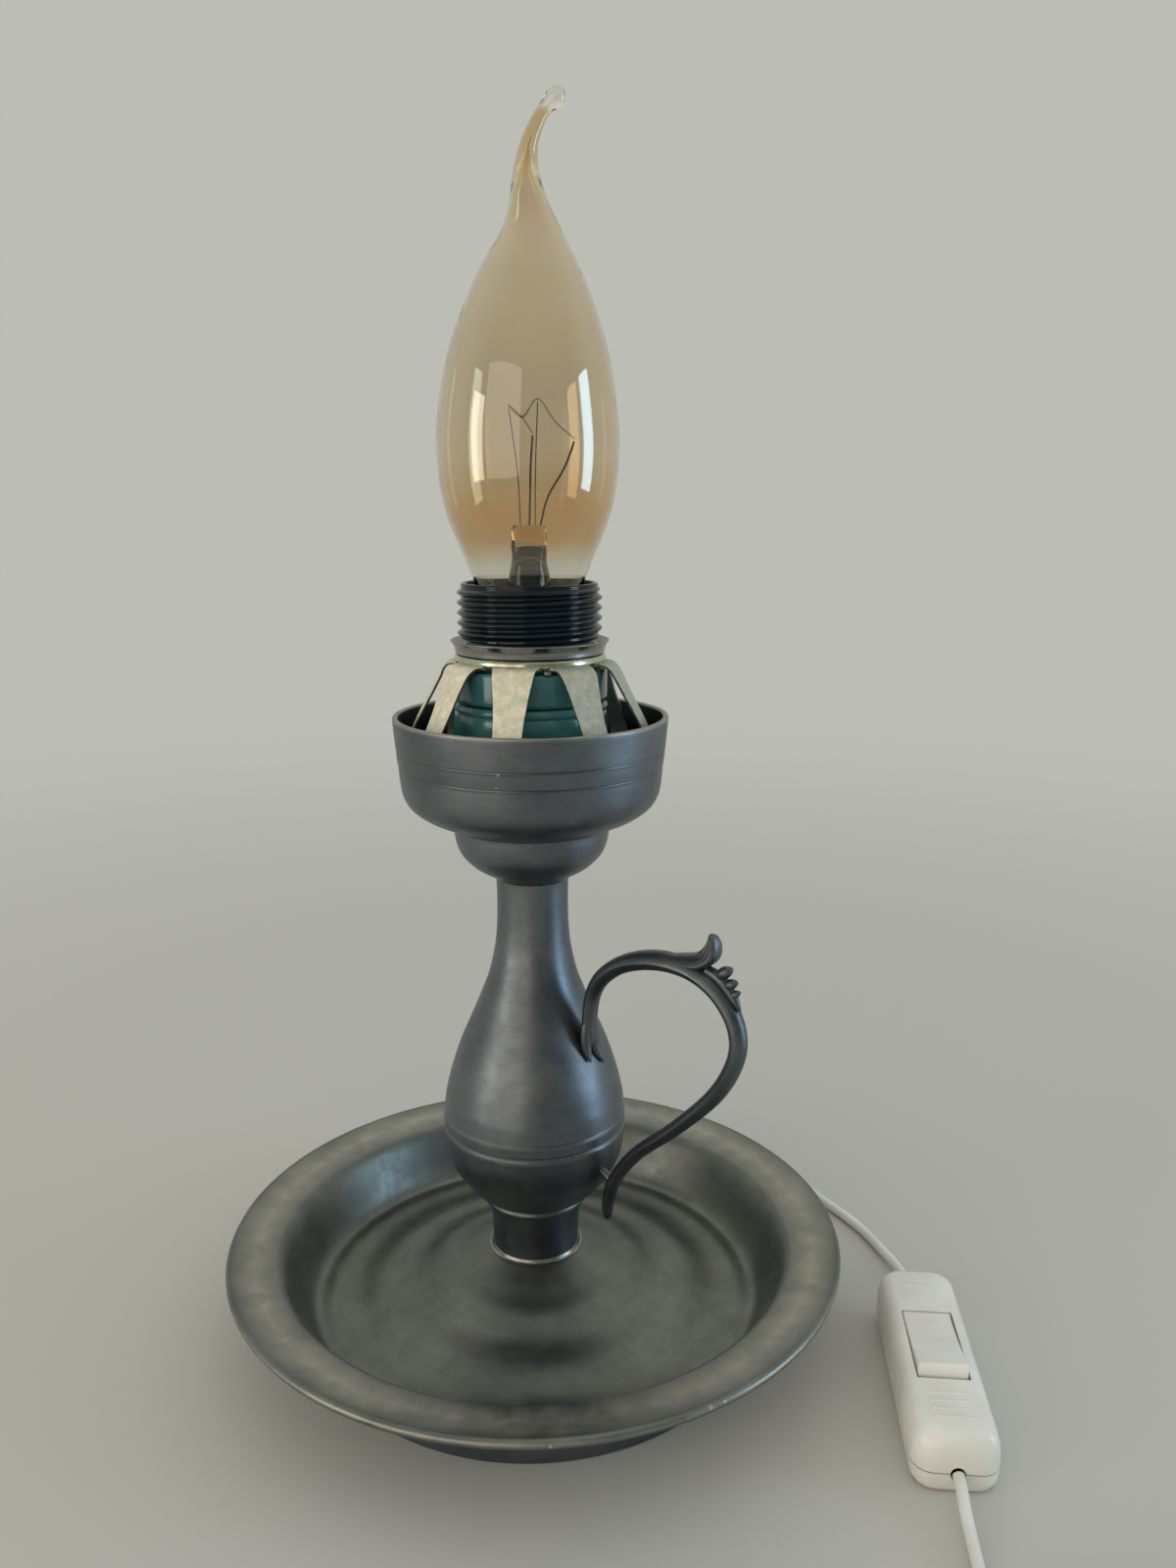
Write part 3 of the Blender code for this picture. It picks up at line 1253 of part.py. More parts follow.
def make_switch():
    frame = add_frame("switch_frame", (*SWITCH_PLACE, 0), SWITCH_ANGLE)
    inner_length = SWITCH_LENGTH - 2 * SWITCH_WALL
    inner_width = SWITCH_WIDTH - 2 * SWITCH_WALL
    base_top = SWITCH_SPLIT - GAP / 2
    cover_bottom = SWITCH_SPLIT + GAP / 2
    screw_places = (-0.36 * SWITCH_LENGTH, 0.36 * SWITCH_LENGTH)

    base = add_piece(
        "switch_base",
        rounded_block(SWITCH_LENGTH, SWITCH_WIDTH, 0, base_top, SWITCH_CORNER),
        "white_plastic",
        frame,
    )
    hollow = rounded_block(
        inner_length, inner_width, SWITCH_WALL, base_top + 2, SWITCH_CORNER - SWITCH_WALL / 2
    )
    combine(base, helper("base_hollow", hollow, frame), "DIFFERENCE")
    cover = add_piece(
        "switch_cover",
        rounded_block(
            SWITCH_LENGTH, SWITCH_WIDTH, cover_bottom, SWITCH_HEIGHT, SWITCH_CORNER, 1.2
        ),
        "white_plastic",
        frame,
    )
    ceiling = SWITCH_HEIGHT - SWITCH_WALL
    hollow = rounded_block(
        inner_length, inner_width, cover_bottom - 2, ceiling, SWITCH_CORNER - SWITCH_WALL / 2
    )
    combine(cover, helper("cover_hollow", hollow, frame), "DIFFERENCE")
    window = block(
        (-ROCKER_LENGTH / 2 - 0.7, -ROCKER_WIDTH / 2 - GAP, ceiling - 2),
        (ROCKER_LENGTH / 2 + 0.7, ROCKER_WIDTH / 2 + GAP, SWITCH_HEIGHT + 2),
    )
    combine(cover, helper("rocker_window", window, frame), "DIFFERENCE")
    for side in (-1, 1):
        hole = cylinder(
            CORD_DIAMETER / 2 + GAP,
            (side * (SWITCH_LENGTH / 2 - SWITCH_WALL - 2), 0, SWITCH_SPLIT),
            (side * (SWITCH_LENGTH / 2 + 2), 0, SWITCH_SPLIT),
            12,
        )
        drill = helper("cord_hole_near" if side < 0 else "cord_hole_far", hole, frame)
        combine(base, drill, "DIFFERENCE")
        combine(cover, drill, "DIFFERENCE")
    for name, x in zip(("switch_screw_near", "switch_screw_far"), screw_places):
        shank, head, seat = 1.2, 2.2, SWITCH_WALL - 0.6
        low = spin_profile(
            [
                (0, -1), (head + GAP, -1), (head + GAP, seat),
                (shank + GAP, seat), (shank + GAP, SWITCH_WALL + 1), (0, SWITCH_WALL + 1),
            ],
            12,
            closed=False,
        )
        combine(base, helper(name + "_hole", low, frame, (x, 0, 0)), "DIFFERENCE")
        profile = [
            (0, 0.1), (head, 0.1), (head, seat - GAP),
            (shank, seat - GAP), (shank, ceiling - GAP), (0, ceiling - GAP),
        ]
        turned(name, profile, "plated_steel", 12, False, frame, (x, 0, 0))

    pivot = SWITCH_HEIGHT - 3.1
    half = ROCKER_LENGTH / 2
    outline = [(-half, 0.5), (-0.55 * half, -2.0), (0.55 * half, -2.0), (half, 0.5),
               (half, 4.2), (0, 3.4), (-half, 4.2)]
    bm = bmesh.new()
    verts = [bm.verts.new((x, -ROCKER_WIDTH / 2, z)) for x, z in outline]
    side_face = bm.faces.new(verts)
    out = bmesh.ops.extrude_face_region(bm, geom=[side_face])
    moved = [v for v in out["geom"] if isinstance(v, bmesh.types.BMVert)]
    bmesh.ops.translate(bm, verts=moved, vec=(0, ROCKER_WIDTH, 0))
    bm.transform(Matrix.Rotation(math.radians(-ROCKER_TILT), 4, "Y"))
    rocker = add_piece("switch_rocker", bm, "white_plastic", frame, (0, 0, pivot))
    bore = cylinder(
        ROCKER_PIN_RADIUS + GAP, (0, -ROCKER_WIDTH, pivot), (0, ROCKER_WIDTH, pivot), 12
    )
    combine(rocker, helper("rocker_bore", bore, frame), "DIFFERENCE")
    reach = inner_width / 2 - GAP
    pin = cylinder(ROCKER_PIN_RADIUS, (0, -reach, pivot), (0, reach, pivot), 12)
    add_piece("rocker_pin", pin, "plated_steel", frame)

    blade_height = (SWITCH_WALL + pivot - 2.0) / 2 + 0.7
    bm = block((-BLADE_LENGTH / 2, -1.8, -0.3), (BLADE_LENGTH / 2, 1.8, 0.3))
    bm.transform(Matrix.Rotation(math.radians(BLADE_TILT), 4, "Y"))
    add_piece("contact_blade", bm, "brass", frame, (0, 0, blade_height))
    post_top = blade_height - 0.3 - GAP - math.sin(math.radians(BLADE_TILT))
    post = block((-1.0, -1.8, SWITCH_WALL + GAP), (1.0, 1.8, post_top))
    add_piece("blade_post", post, "brass", frame)
    contact_x = BLADE_LENGTH / 2 - 1.5
    drop = (contact_x + 1.3) * math.sin(math.radians(BLADE_TILT))
    contact = block(
        (contact_x - 1.3, -1.8, SWITCH_WALL + GAP),
        (contact_x + 1.3, 1.8, blade_height - 0.3 - GAP - drop),
    )
    add_piece("load_contact", contact, "brass", frame)


# Two-pin plug with its own strain relief


def rounded_ring(x, half_width, half_height, middle, corner):
    points = []
    for quarter in range(4):
        for k in range(4):
            a = math.radians(quarter * 90 + k * 30)
            sy = 1 if quarter in (0, 3) else -1
            sz = 1 if quarter in (0, 1) else -1
            y = sy * (half_width - corner) + corner * math.cos(a)
            z = sz * (half_height - corner) + corner * math.sin(a)
            points.append(Vector((x, y, middle + z)))
    return points


def make_plug():
    frame = add_frame("plug_frame", (*PLUG_PLACE, 0), 180.0)
    middle = PLUG_THICKNESS / 2
    full = PLUG_WIDTH / 2
    sections = (
        (0.0, 0.28 * full, 0.62 * middle, 2.0),
        (0.08, 0.36 * full, 0.80 * middle, 3.0),
        (0.35, 0.62 * full, 0.95 * middle, 4.0),
        (0.58, 0.96 * full, middle, 4.5),
        (0.75, full, middle, 4.5),
        (1.0, full, middle, 4.5),
    )
    rings = [
        rounded_ring(share * PLUG_LENGTH, width, height, middle, corner)
        for share, width, height, corner in sections
    ]
    add_piece("plug_body", loft(rings), "white_plastic", frame)
    length = PLUG_RELIEF_LENGTH - GAP
    thick = 0.5 * middle
    tip = CORD_DIAMETER / 2 + 0.3
    cone = cylinder(thick, (-GAP, 0, middle), (-length, 0, middle), 12, tip)
    add_piece("plug_relief", cone, "white_flex", frame)
    for name, side in (("plug_pin_left", -1), ("plug_pin_right", 1)):
        profile = [
            (0, GAP),
            (PIN_RADIUS - 0.15, GAP),
            (PIN_RADIUS - 0.15, 0.5 * PIN_LENGTH),
            (PIN_RADIUS, 0.5 * PIN_LENGTH + 0.3),
            (PIN_RADIUS, PIN_LENGTH - 1.2),
            (0.7 * PIN_RADIUS, PIN_LENGTH),
            (0, PIN_LENGTH),
        ]
        bm = spin_profile(profile, 12, closed=False)
        tip = [v for v in bm.verts if v.co.z > PIN_LENGTH - 0.01 and v.co.xy.length < 0.01]
        bmesh.ops.dissolve_verts(bm, verts=tip)  # the pin ends in one flat face
        bm.transform(Matrix.Rotation(math.radians(90), 4, "Y"))
        place = (PLUG_LENGTH, side * PIN_SPACING / 2, middle)
        add_piece(name, bm, "plated_steel", frame, place)


clear_scene()
finishes = make_finishes()
make_dish()
make_foot()
make_strain_relief()
make_stem()
clamp_ends = make_clamp()
make_cup()
make_holder()
make_rings()
make_cap()
make_glass()
make_mount()
make_handle()
make_lead(*clamp_ends)
make_tie()
make_switch()
make_plug()
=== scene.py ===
import math
import bmesh
import bpy
from mathutils import Matrix, Vector, noise


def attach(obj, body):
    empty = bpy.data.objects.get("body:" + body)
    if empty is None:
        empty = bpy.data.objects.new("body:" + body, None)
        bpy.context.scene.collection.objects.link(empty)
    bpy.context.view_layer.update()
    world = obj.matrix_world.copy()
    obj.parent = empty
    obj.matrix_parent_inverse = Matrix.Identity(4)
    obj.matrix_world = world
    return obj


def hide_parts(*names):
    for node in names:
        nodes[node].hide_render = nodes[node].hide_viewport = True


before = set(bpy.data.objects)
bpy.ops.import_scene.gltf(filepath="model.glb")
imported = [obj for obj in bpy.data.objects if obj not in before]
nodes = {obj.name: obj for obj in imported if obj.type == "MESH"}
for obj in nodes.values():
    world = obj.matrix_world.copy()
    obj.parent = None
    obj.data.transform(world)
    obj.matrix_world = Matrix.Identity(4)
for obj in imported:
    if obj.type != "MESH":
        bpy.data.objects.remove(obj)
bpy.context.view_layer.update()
mm = 0.001
up = Vector((0, 0, 1))

print("camera and stage")
cameraSettings = {
    "place": (0.0, -246.1, 172.9),
    "pitch": 77.328,
    "yaw": -2.607,
    "lens": 29.22,
}
view = bpy.data.cameras.new("photoCamera")
view.lens = cameraSettings["lens"]
view.sensor_width = 36.0
view.clip_start = 0.01
camera = bpy.data.objects.new("photoCamera", view)
camera.location = Vector(cameraSettings["place"]) * mm
camera.rotation_euler = (math.radians(cameraSettings["pitch"]), 0, math.radians(cameraSettings["yaw"]))
bpy.context.scene.collection.objects.link(camera)
bpy.context.scene.camera = camera
bpy.context.scene.view_settings.view_transform = "Standard"


def linear(code):
    parts = [int(code[i:i + 2], 16) / 255 for i in (1, 3, 5)]
    return tuple(c / 12.92 if c <= 0.04045 else ((c + 0.055) / 1.055) ** 2.4 for c in parts) + (1.0,)


def grey(value):
    return (value, value, value, 1.0)


def grain(size):
    return 1000.0 / size  # a noise scale whose grain is this many millimetres


def addNode(tree, kind, settings=None, links=None):
    # Settings go to sockets or properties; a link is a socket, or a node for its first output
    node = tree.nodes.new("ShaderNode" + kind)
    for key, value in (settings or {}).items():
        if key == "ramp":
            while len(node.color_ramp.elements) < len(value):
                node.color_ramp.elements.new(0.5)
            for element, (place, colour) in zip(node.color_ramp.elements, value):
                element.position = place
                element.color = colour
        elif isinstance(key, int) or key in node.inputs:
            node.inputs[key].default_value = value
        else:
            setattr(node, key, value)
    for key, source in (links or {}).items():
        socket = source.outputs[0] if isinstance(source, bpy.types.Node) else source
        tree.links.new(socket, node.inputs[key])
    return node


def newMaterial(name, settings):
    material = bpy.data.materials.new(name)
    material.use_nodes = True
    tree = material.node_tree
    shader = tree.nodes["Principled BSDF"]
    for key, value in settings.items():
        shader.inputs[key].default_value = value
    place = addNode(tree, "TexCoord").outputs["Object"]
    return material, tree, shader, place


def connect(tree, shader, sources):
    for key, source in sources.items():
        socket = source.outputs[0] if isinstance(source, bpy.types.Node) else source
        tree.links.new(socket, shader.inputs[key])


print("finishes")
pewterLook = {
    "plain": (linear("#666b68"), linear("#80837d")),
    "cool": (linear("#5f676c"), linear("#7c8287")),
    "deep": (linear("#555c60"), linear("#6f7579")),
    # The black tones are painted shade for the inside of the cup
    "black": (linear("#30383c"), linear("#474f53")),
    "warm": linear("#7a7368"),
    "bare": linear("#cfcabd"),
    "smooth": 0.36,
    "dull": 0.50,
    "lineGap": 0.45,
    # Each grain's size in mm, detail, roughness and warp
    "patches": (18.0, 3.0, 0.6, 0.3),
    "clouds": (4.5, 4.0, 0.6, 0.0),
    "specks": (0.5, 3.0, 0.7, 0.0),
}
darken = {"data_type": "RGBA", "blend_type": "MULTIPLY", 0: 1.0}


def pewter(name, spun, tones, nicks=(), edge=None):
    # Cast pewter, turned on a lathe and left to darken: satin, soft highlights, faint turning lines.
    # Nicks show bright bare metal at the given places; an edge is worn bright along its height.
    look = pewterLook
    material, tree, shader, place = newMaterial(name, {"Metallic": 1.0})
    patches, cloud, fine = [
        addNode(tree, "TexNoise", {"Scale": grain(size), "Detail": detail, "Roughness": rough,
                                   "Distortion": warp}, {"Vector": place})
        for size, detail, rough, warp in (look["patches"], look["clouds"], look["specks"])]
    dark, light = look[tones]
    base = addNode(tree, "ValToRGB", {"ramp": [(0.30, dark), (0.70, light)]}, {"Fac": patches})
    stain = addNode(tree, "ValToRGB", {"ramp": [(0.52, grey(0.0)), (0.80, grey(0.4))]}, {"Fac": cloud})
    tone = addNode(tree, "Mix", {"data_type": "RGBA", 7: look["warm"]}, {0: stain, 6: base}).outputs[2]
    speck = addNode(tree, "ValToRGB", {"ramp": [(0.30, grey(0.90)), (0.62, grey(1.0))]}, {"Fac": fine})
    tone = addNode(tree, "Mix", darken, {6: tone, 7: speck}).outputs[2]
    rough = addNode(tree, "MapRange", {"From Min": 0.30, "From Max": 0.75, "To Min": look["smooth"],
                                       "To Max": look["dull"]}, {"Value": cloud})
    axes = addNode(tree, "SeparateXYZ", links={0: place})
    if spun:
        flat = addNode(tree, "CombineXYZ", links={0: axes.outputs[0], 1: axes.outputs[1]})
        reach = addNode(tree, "VectorMath", {"operation": "LENGTH"}, {0: flat})
        climb = addNode(tree, "Math", {"operation": "ADD"}, {0: reach.outputs["Value"], 1: axes.outputs[2]})
        stretched = addNode(tree, "VectorMath", {"operation": "MULTIPLY", 1: (0.09, 0.09, 0.0)}, {0: place})
        turned = addNode(tree, "CombineXYZ", links={2: climb})
        turned = addNode(tree, "VectorMath", {"operation": "ADD"}, {0: stretched, 1: turned})
        lines = addNode(tree, "TexNoise", {"Scale": grain(look["lineGap"]), "Detail": 3.0, "Roughness": 0.7},
                        {"Vector": turned})
        streak = addNode(tree, "ValToRGB", {"ramp": [(0.36, grey(0.90)), (0.64, grey(1.0))]}, {"Fac": lines})
        tone = addNode(tree, "Mix", darken, {6: tone, 7: streak}).outputs[2]
        bump = addNode(tree, "Bump", {"Distance": 0.014 * mm, "Strength": 0.6}, {"Height": lines})
    else:
        dents = addNode(tree, "TexNoise", {"Scale": grain(1.8), "Detail": 3.0, "Roughness": 0.6},
                        {"Vector": place})
        bump = addNode(tree, "Bump", {"Distance": 0.12 * mm, "Strength": 0.6}, {"Height": dents})
    bump = addNode(tree, "Bump", {"Distance": 0.01 * mm, "Strength": 0.5}, {"Height": fine, "Normal": bump})
    for spot, size in nicks:
        gap = addNode(tree, "VectorMath", {"operation": "DISTANCE", 1: Vector(spot) * mm}, {0: place})
        near = addNode(tree, "MapRange", {"From Min": size * mm, "From Max": 0.4 * size * mm},
                       {"Value": gap.outputs["Value"]})
        scratch = addNode(tree, "TexNoise", {"Scale": grain(0.7), "Detail": 2.0, "Roughness": 0.8},
                          {"Vector": place})
        both = addNode(tree, "Math", {"operation": "MULTIPLY"}, {0: near, 1: scratch})
        mark = addNode(tree, "ValToRGB", {"ramp": [(0.50, grey(0.0)), (0.56, grey(1.0))]}, {"Fac": both})
        tone = addNode(tree, "Mix", {"data_type": "RGBA", 7: look["bare"]}, {0: mark, 6: tone}).outputs[2]
        bump = addNode(tree, "Bump", {"Distance": -0.08 * mm}, {"Height": mark, "Normal": bump})
    if edge is not None:
        height, span = edge
        away = addNode(tree, "Math", {"operation": "SUBTRACT", 1: height * mm}, {0: axes.outputs[2]})
        away = addNode(tree, "Math", {"operation": "ABSOLUTE"}, {0: away})
        band = addNode(tree, "MapRange", {"From Min": span * mm, "From Max": 0.0, "To Max": 0.75},
                       {"Value": away})
        worn = addNode(tree, "Math", {"operation": "MULTIPLY"}, {0: band, 1: cloud})
        tone = addNode(tree, "Mix", {"data_type": "RGBA", 7: look["bare"]}, {0: worn, 6: tone}).outputs[2]
    connect(tree, shader, {"Base Color": tone, "Roughness": rough, "Normal": bump})
    return material


def bakelite(name, dark, light, stipple, index):
    # Phenolic, moulded: near black on the thread and dark teal below it, with a hard gloss, and an
    # orange-peel skin where the tool was etched. The lighter teal is partly the phenolic's own tone and
    # partly painted sheen
    material, tree, shader, place = newMaterial(name, {"IOR": index})
    cloud = addNode(tree, "TexNoise", {"Scale": grain(7.0), "Detail": 3.0}, {"Vector": place})
    tone = addNode(tree, "ValToRGB", {"ramp": [(0.35, linear(dark)), (0.70, linear(light))]}, {"Fac": cloud})
    dust = addNode(tree, "TexNoise", {"Scale": grain(0.6), "Detail": 4.0, "Roughness": 0.75},
                   {"Vector": place})
    specks = addNode(tree, "ValToRGB", {"ramp": [(0.68, grey(0.0)), (0.80, grey(0.4))]}, {"Fac": dust})
    tone = addNode(tree, "Mix", {"data_type": "RGBA", 7: linear("#8b8f88")}, {0: specks, 6: tone}).outputs[2]
    rough = addNode(tree, "ValToRGB", {"ramp": [(0.3, grey(0.10)), (0.8, grey(0.20))]}, {"Fac": cloud})
    size, depth = (0.32, 0.035) if stipple else (2.0, 0.01)
    skin = addNode(tree, "TexNoise", {"Scale": grain(size), "Detail": 1.0}, {"Vector": place})
    bump = addNode(tree, "Bump", {"Distance": depth * mm, "Strength": 0.8}, {"Height": skin})
    connect(tree, shader, {"Base Color": tone, "Roughness": rough, "Normal": bump})
    return material


def zincPlate(name, dark, middle, light):
    # Spring steel with old zinc plating: pale, chalky and mottled, with dark pinholes
    material, tree, shader, place = newMaterial(name, {"Metallic": 0.25})
    mottle = addNode(tree, "TexNoise", {"Scale": grain(1.5), "Detail": 5.0, "Roughness": 0.65},
                     {"Vector": place})
    large = addNode(tree, "TexNoise", {"Scale": grain(7.0), "Detail": 2.0}, {"Vector": place})
    ramp = [(0.30, linear(dark)), (0.50, linear(middle)), (0.72, linear(light))]
    tone = addNode(tree, "ValToRGB", {"ramp": ramp}, {"Fac": mottle})
    drift = addNode(tree, "ValToRGB", {"ramp": [(0.45, grey(0.0)), (0.75, grey(0.5))]}, {"Fac": large})
    tone = addNode(tree, "Mix", {"data_type": "RGBA", 7: linear("#b3bda8")}, {0: drift, 6: tone}).outputs[2]
    drawn = addNode(tree, "Mapping", {"Scale": (1.0, 1.0, 0.6)}, {"Vector": place})
    holes = addNode(tree, "TexNoise", {"Scale": grain(0.22), "Detail": 2.0, "Roughness": 0.6},
                    {"Vector": drawn})
    pits = addNode(tree, "ValToRGB", {"ramp": [(0.26, grey(0.5)), (0.34, grey(0.0))]}, {"Fac": holes})
    tone = addNode(tree, "Mix", {"data_type": "RGBA", 7: linear("#6f6a55")}, {0: pits, 6: tone}).outputs[2]
    rough = addNode(tree, "ValToRGB", {"ramp": [(0.3, grey(0.42)), (0.7, grey(0.60))]}, {"Fac": mottle})
    bump = addNode(tree, "Bump", {"Distance": 0.04 * mm, "Strength": 0.6}, {"Height": mottle})
    connect(tree, shader, {"Base Color": tone, "Roughness": rough, "Normal": bump})
    return material


def shinyMetal(name, tints, smooth, dull, size, warp=0.0):
    # Plated, rolled or drawn metal of the small parts: tints drift a little, with faint handling marks
    material, tree, shader, place = newMaterial(name, {"Metallic": 1.0})
    drift = addNode(tree, "TexNoise", {"Scale": grain(size), "Detail": 3.0, "Roughness": 0.6,
                                       "Distortion": warp}, {"Vector": place})
    ramp = [(0.32 + 0.36 * k / (len(tints) - 1), linear(tint)) for k, tint in enumerate(tints)]
    tone = addNode(tree, "ValToRGB", {"ramp": ramp}, {"Fac": drift})
    fine = addNode(tree, "TexNoise", {"Scale": grain(0.6), "Detail": 3.0}, {"Vector": place})
    rough = addNode(tree, "ValToRGB", {"ramp": [(0.3, grey(smooth)), (0.8, grey(dull))]}, {"Fac": fine})
    bump = addNode(tree, "Bump", {"Distance": 0.01 * mm, "Strength": 0.4}, {"Height": fine})
    connect(tree, shader, {"Base Color": tone, "Roughness": rough, "Normal": bump})
    return material


def mouldedSkin(name, first, second, smooth, dull, size, depth, glow=0.0):
    # Moulded or glazed skin: slightly glossy, with a faint orange peel and soft yellowing
    material, tree, shader, place = newMaterial(name, {"IOR": 1.53, "Subsurface Weight": glow,
                                                       "Subsurface Scale": 0.001})
    drift = addNode(tree, "TexNoise", {"Scale": grain(9.0), "Detail": 3.0}, {"Vector": place})
    ramp = [(0.35, linear(first)), (0.70, linear(second))]
    tone = addNode(tree, "ValToRGB", {"ramp": ramp}, {"Fac": drift})
    peel = addNode(tree, "TexNoise", {"Scale": grain(size), "Detail": 2.0}, {"Vector": place})
    rough = addNode(tree, "ValToRGB", {"ramp": [(0.3, grey(smooth)), (0.8, grey(dull))]}, {"Fac": drift})
    bump = addNode(tree, "Bump", {"Distance": depth * mm, "Strength": 0.5}, {"Height": peel})
    connect(tree, shader, {"Base Color": tone, "Roughness": rough, "Normal": bump})
    return material


def blownGlass(name, bands, lustre):
    # Blown soda-lime glass. On the bulb a fired amber lustre, deepest over the neck and the drawn tip,
    # bare near the cap and on the tip's ball: each band is a height on the lamp and one wall's tint.
    glass = {"Transmission Weight": 1.0, "IOR": 1.5, "Roughness": 0.0}
    if lustre:
        glass.update({"Coat Weight": 0.3, "Coat Roughness": 0.02, "Coat IOR": 1.9})
    material, tree, shader, place = newMaterial(name, glass)
    waves = addNode(tree, "TexNoise", {"Scale": grain(16.0), "Detail": 1.0}, {"Vector": place})
    axes = addNode(tree, "SeparateXYZ", links={0: place})
    low, high = bands[0][0], bands[-1][0]
    share = addNode(tree, "MapRange", {"From Min": low * mm, "From Max": high * mm},
                    {"Value": axes.outputs[2]})
    sway = addNode(tree, "Math", {"operation": "MULTIPLY_ADD", 1: 0.05, 2: -0.025}, {0: waves})
    share = addNode(tree, "Math", {"operation": "ADD"}, {0: share, 1: sway})
    ramp = [((z - low) / (high - low), linear(tint)) for z, tint in bands]
    tone = addNode(tree, "ValToRGB", {"ramp": ramp}, {"Fac": share})
    bump = addNode(tree, "Bump", {"Distance": 0.10 * mm, "Strength": 0.35}, {"Height": waves})
    connect(tree, shader, {"Base Color": tone, "Normal": bump})
    return material


spunPewter = pewter("spunPewter", True, "cool")
# Nicks are a place and a size in mm, and a worn edge is a height and a reach
cupNicks = (((-6.0, -25.4, 124.9), 0.9), ((-6.1, -25.2, 122.9), 0.9), ((-6.0, -25.1, 121.4), 0.6),
            ((7.2, -24.4, 115.7), 1.2))
dishNicks = (((29.8, -56.6, 19.9), 1.2), ((32.6, -55.2, 20.0), 0.9), ((2.0, -64.2, 19.4), 0.9))
cupPewter = pewter("cupPewter", True, "cool", cupNicks, (131.6, 0.7))
dishPewter = pewter("dishPewter", True, "plain", dishNicks, (19.6, 0.7))
# A dark copy of the pewter, painted shade for the inside of the cup and its hidden floor
cupInsideShade = pewter("cupShadePewter", True, "black")
castPewter = pewter("castPewter", False, "deep")
threadBakelite = bakelite("glossPhenolic", "#040f14", "#08171d", False, 1.40)
# The teal of the skirt and of the body is partly the phenolic's own tone and partly painted sheen
skirtBakelite = bakelite("stippledPhenolic", "#376564", "#4b7d7a", True, 1.50)
bodyBakelite = bakelite("tealPhenolic", "#2d5a59", "#406f6c", False, 1.50)
clawZinc = zincPlate("agedZincPlate", "#c3bda4", "#d8d0b5", "#efe6cc")
# A greyer copy of the plating, painted shade on the claws that face the right
shadedZinc = zincPlate("shadedZincPlate", "#93937f", "#a5a492", "#b8b7a6")
beadSteel = shinyMetal("passivatedSteel", ("#a2a999", "#cac8ac", "#b6c5b3", "#bcafa4"),
                       0.18, 0.32, 6.0, 0.6)
flareSteel = shinyMetal("dullRolledSteel", ("#70787a", "#8b9092", "#928b87", "#a0a5a5"),
                        0.24, 0.38, 6.0, 0.4)
shearedEdge = shinyMetal("shearedSteelEdge", ("#6a695c", "#98968a"), 0.34, 0.50, 0.8)
nickelPlate = shinyMetal("nickelPlate", ("#a8a598", "#c6c3b6"), 0.18, 0.30, 1.5)
leadSolder = shinyMetal("leadSolder", ("#82827a", "#9f9d92"), 0.24, 0.42, 1.5)
zincNut = shinyMetal("zincPlatedNut", ("#8f8f86", "#a9a99e"), 0.30, 0.46, 1.5)
stripBrass = shinyMetal("stripBrass", ("#b08d4a", "#c9a862"), 0.24, 0.36, 1.5)
mountWire = shinyMetal("coppercladWire", ("#4a3c30", "#6d5847"), 0.26, 0.40, 1.2)
tungstenWire = shinyMetal("drawnTungsten", ("#3a3634", "#55504b"), 0.34, 0.50, 1.2)
glazedSteatite = mouldedSkin("glazedSteatite", "#e4e0d4", "#eeebe0", 0.12, 0.22, 3.0, 0.02)
whiteShell = mouldedSkin("whiteAbs", "#dad8cd", "#e6e4da", 0.26, 0.38, 0.9, 0.012, 0.06)
whiteFlex = mouldedSkin("whitePvcSheath", "#d9d7ce", "#e6e4dc", 0.36, 0.50, 1.4, 0.02, 0.06)
tieFilm = mouldedSkin("whiteTieFilm", "#d2d1ca", "#e0dfd9", 0.30, 0.42, 1.0, 0.02)
blackVitrite = mouldedSkin("blackVitrite", "#0c0c0e", "#16161a", 0.08, 0.14, 1.5, 0.02)
amberGlass = blownGlass("amberLustreGlass", (
    (150.0, "#f5f6f2"), (160.0, "#f0efe6"), (165.0, "#e6ceaa"), (171.0, "#e9d0aa"), (180.0, "#efe3cd"),
    (200.0, "#efe4d0"), (215.0, "#f1e6d2"), (228.0, "#f2e3ca"), (233.5, "#ebd2a6"), (239.2, "#e8cc9a"),
    (240.5, "#faf8f2"), (243.0, "#faf8f2")), True)
clearGlass = blownGlass("clearStemGlass", ((145.0, "#f4f8f6"), (160.0, "#f8faf8"), (163.0, "#ecd6ac"),
                                           (168.0, "#ecd6ac")), False)

keptNodes = (
    (zincNut, ("threaded_tube", "base_washer", "base_nut", "cup_washer", "holder_nut")),
    (glazedSteatite, ("holder_insert",)),
    (blackVitrite, ("cap_insulator",)),
    (nickelPlate, ("screw_shell", "cap_contact", "rocker_pin", "switch_screw_near", "switch_screw_far")),
    (stripBrass, ("centre_contact", "side_contact", "terminal_screw_line", "terminal_screw_neutral",
                  "contact_blade", "blade_post", "load_contact")),
)
for finish, names in keptNodes:
    for node in names:
        nodes[node].data.materials.clear()
        nodes[node].data.materials.append(finish)


def radial(angle, distance, z):
    a = math.radians(angle)
    return Vector((distance * math.cos(a), distance * math.sin(a), z))


def turnBy(degrees, axis="Z"):
    return Matrix.Rotation(math.radians(degrees), 4, axis)


def ease(t):
    t = min(max(t, 0.0), 1.0)
    return (1 - math.cos(math.pi * t)) / 2


def smoothPath(points, perSpan):
    points = [Vector(p) for p in points]
    ends = [2 * points[0] - points[1]] + points + [2 * points[-1] - points[-2]]
    out = []
    for a, b, c, d in zip(ends, ends[1:], ends[2:], ends[3:]):
        for k in range(perSpan):
            t = k / perSpan
            out.append(0.5 * (2 * b + (c - a) * t + (2 * a - 5 * b + 4 * c - d) * t * t
                              + (3 * b - a - 3 * c + d) * t * t * t))
    out.append(points[-1])
    return out


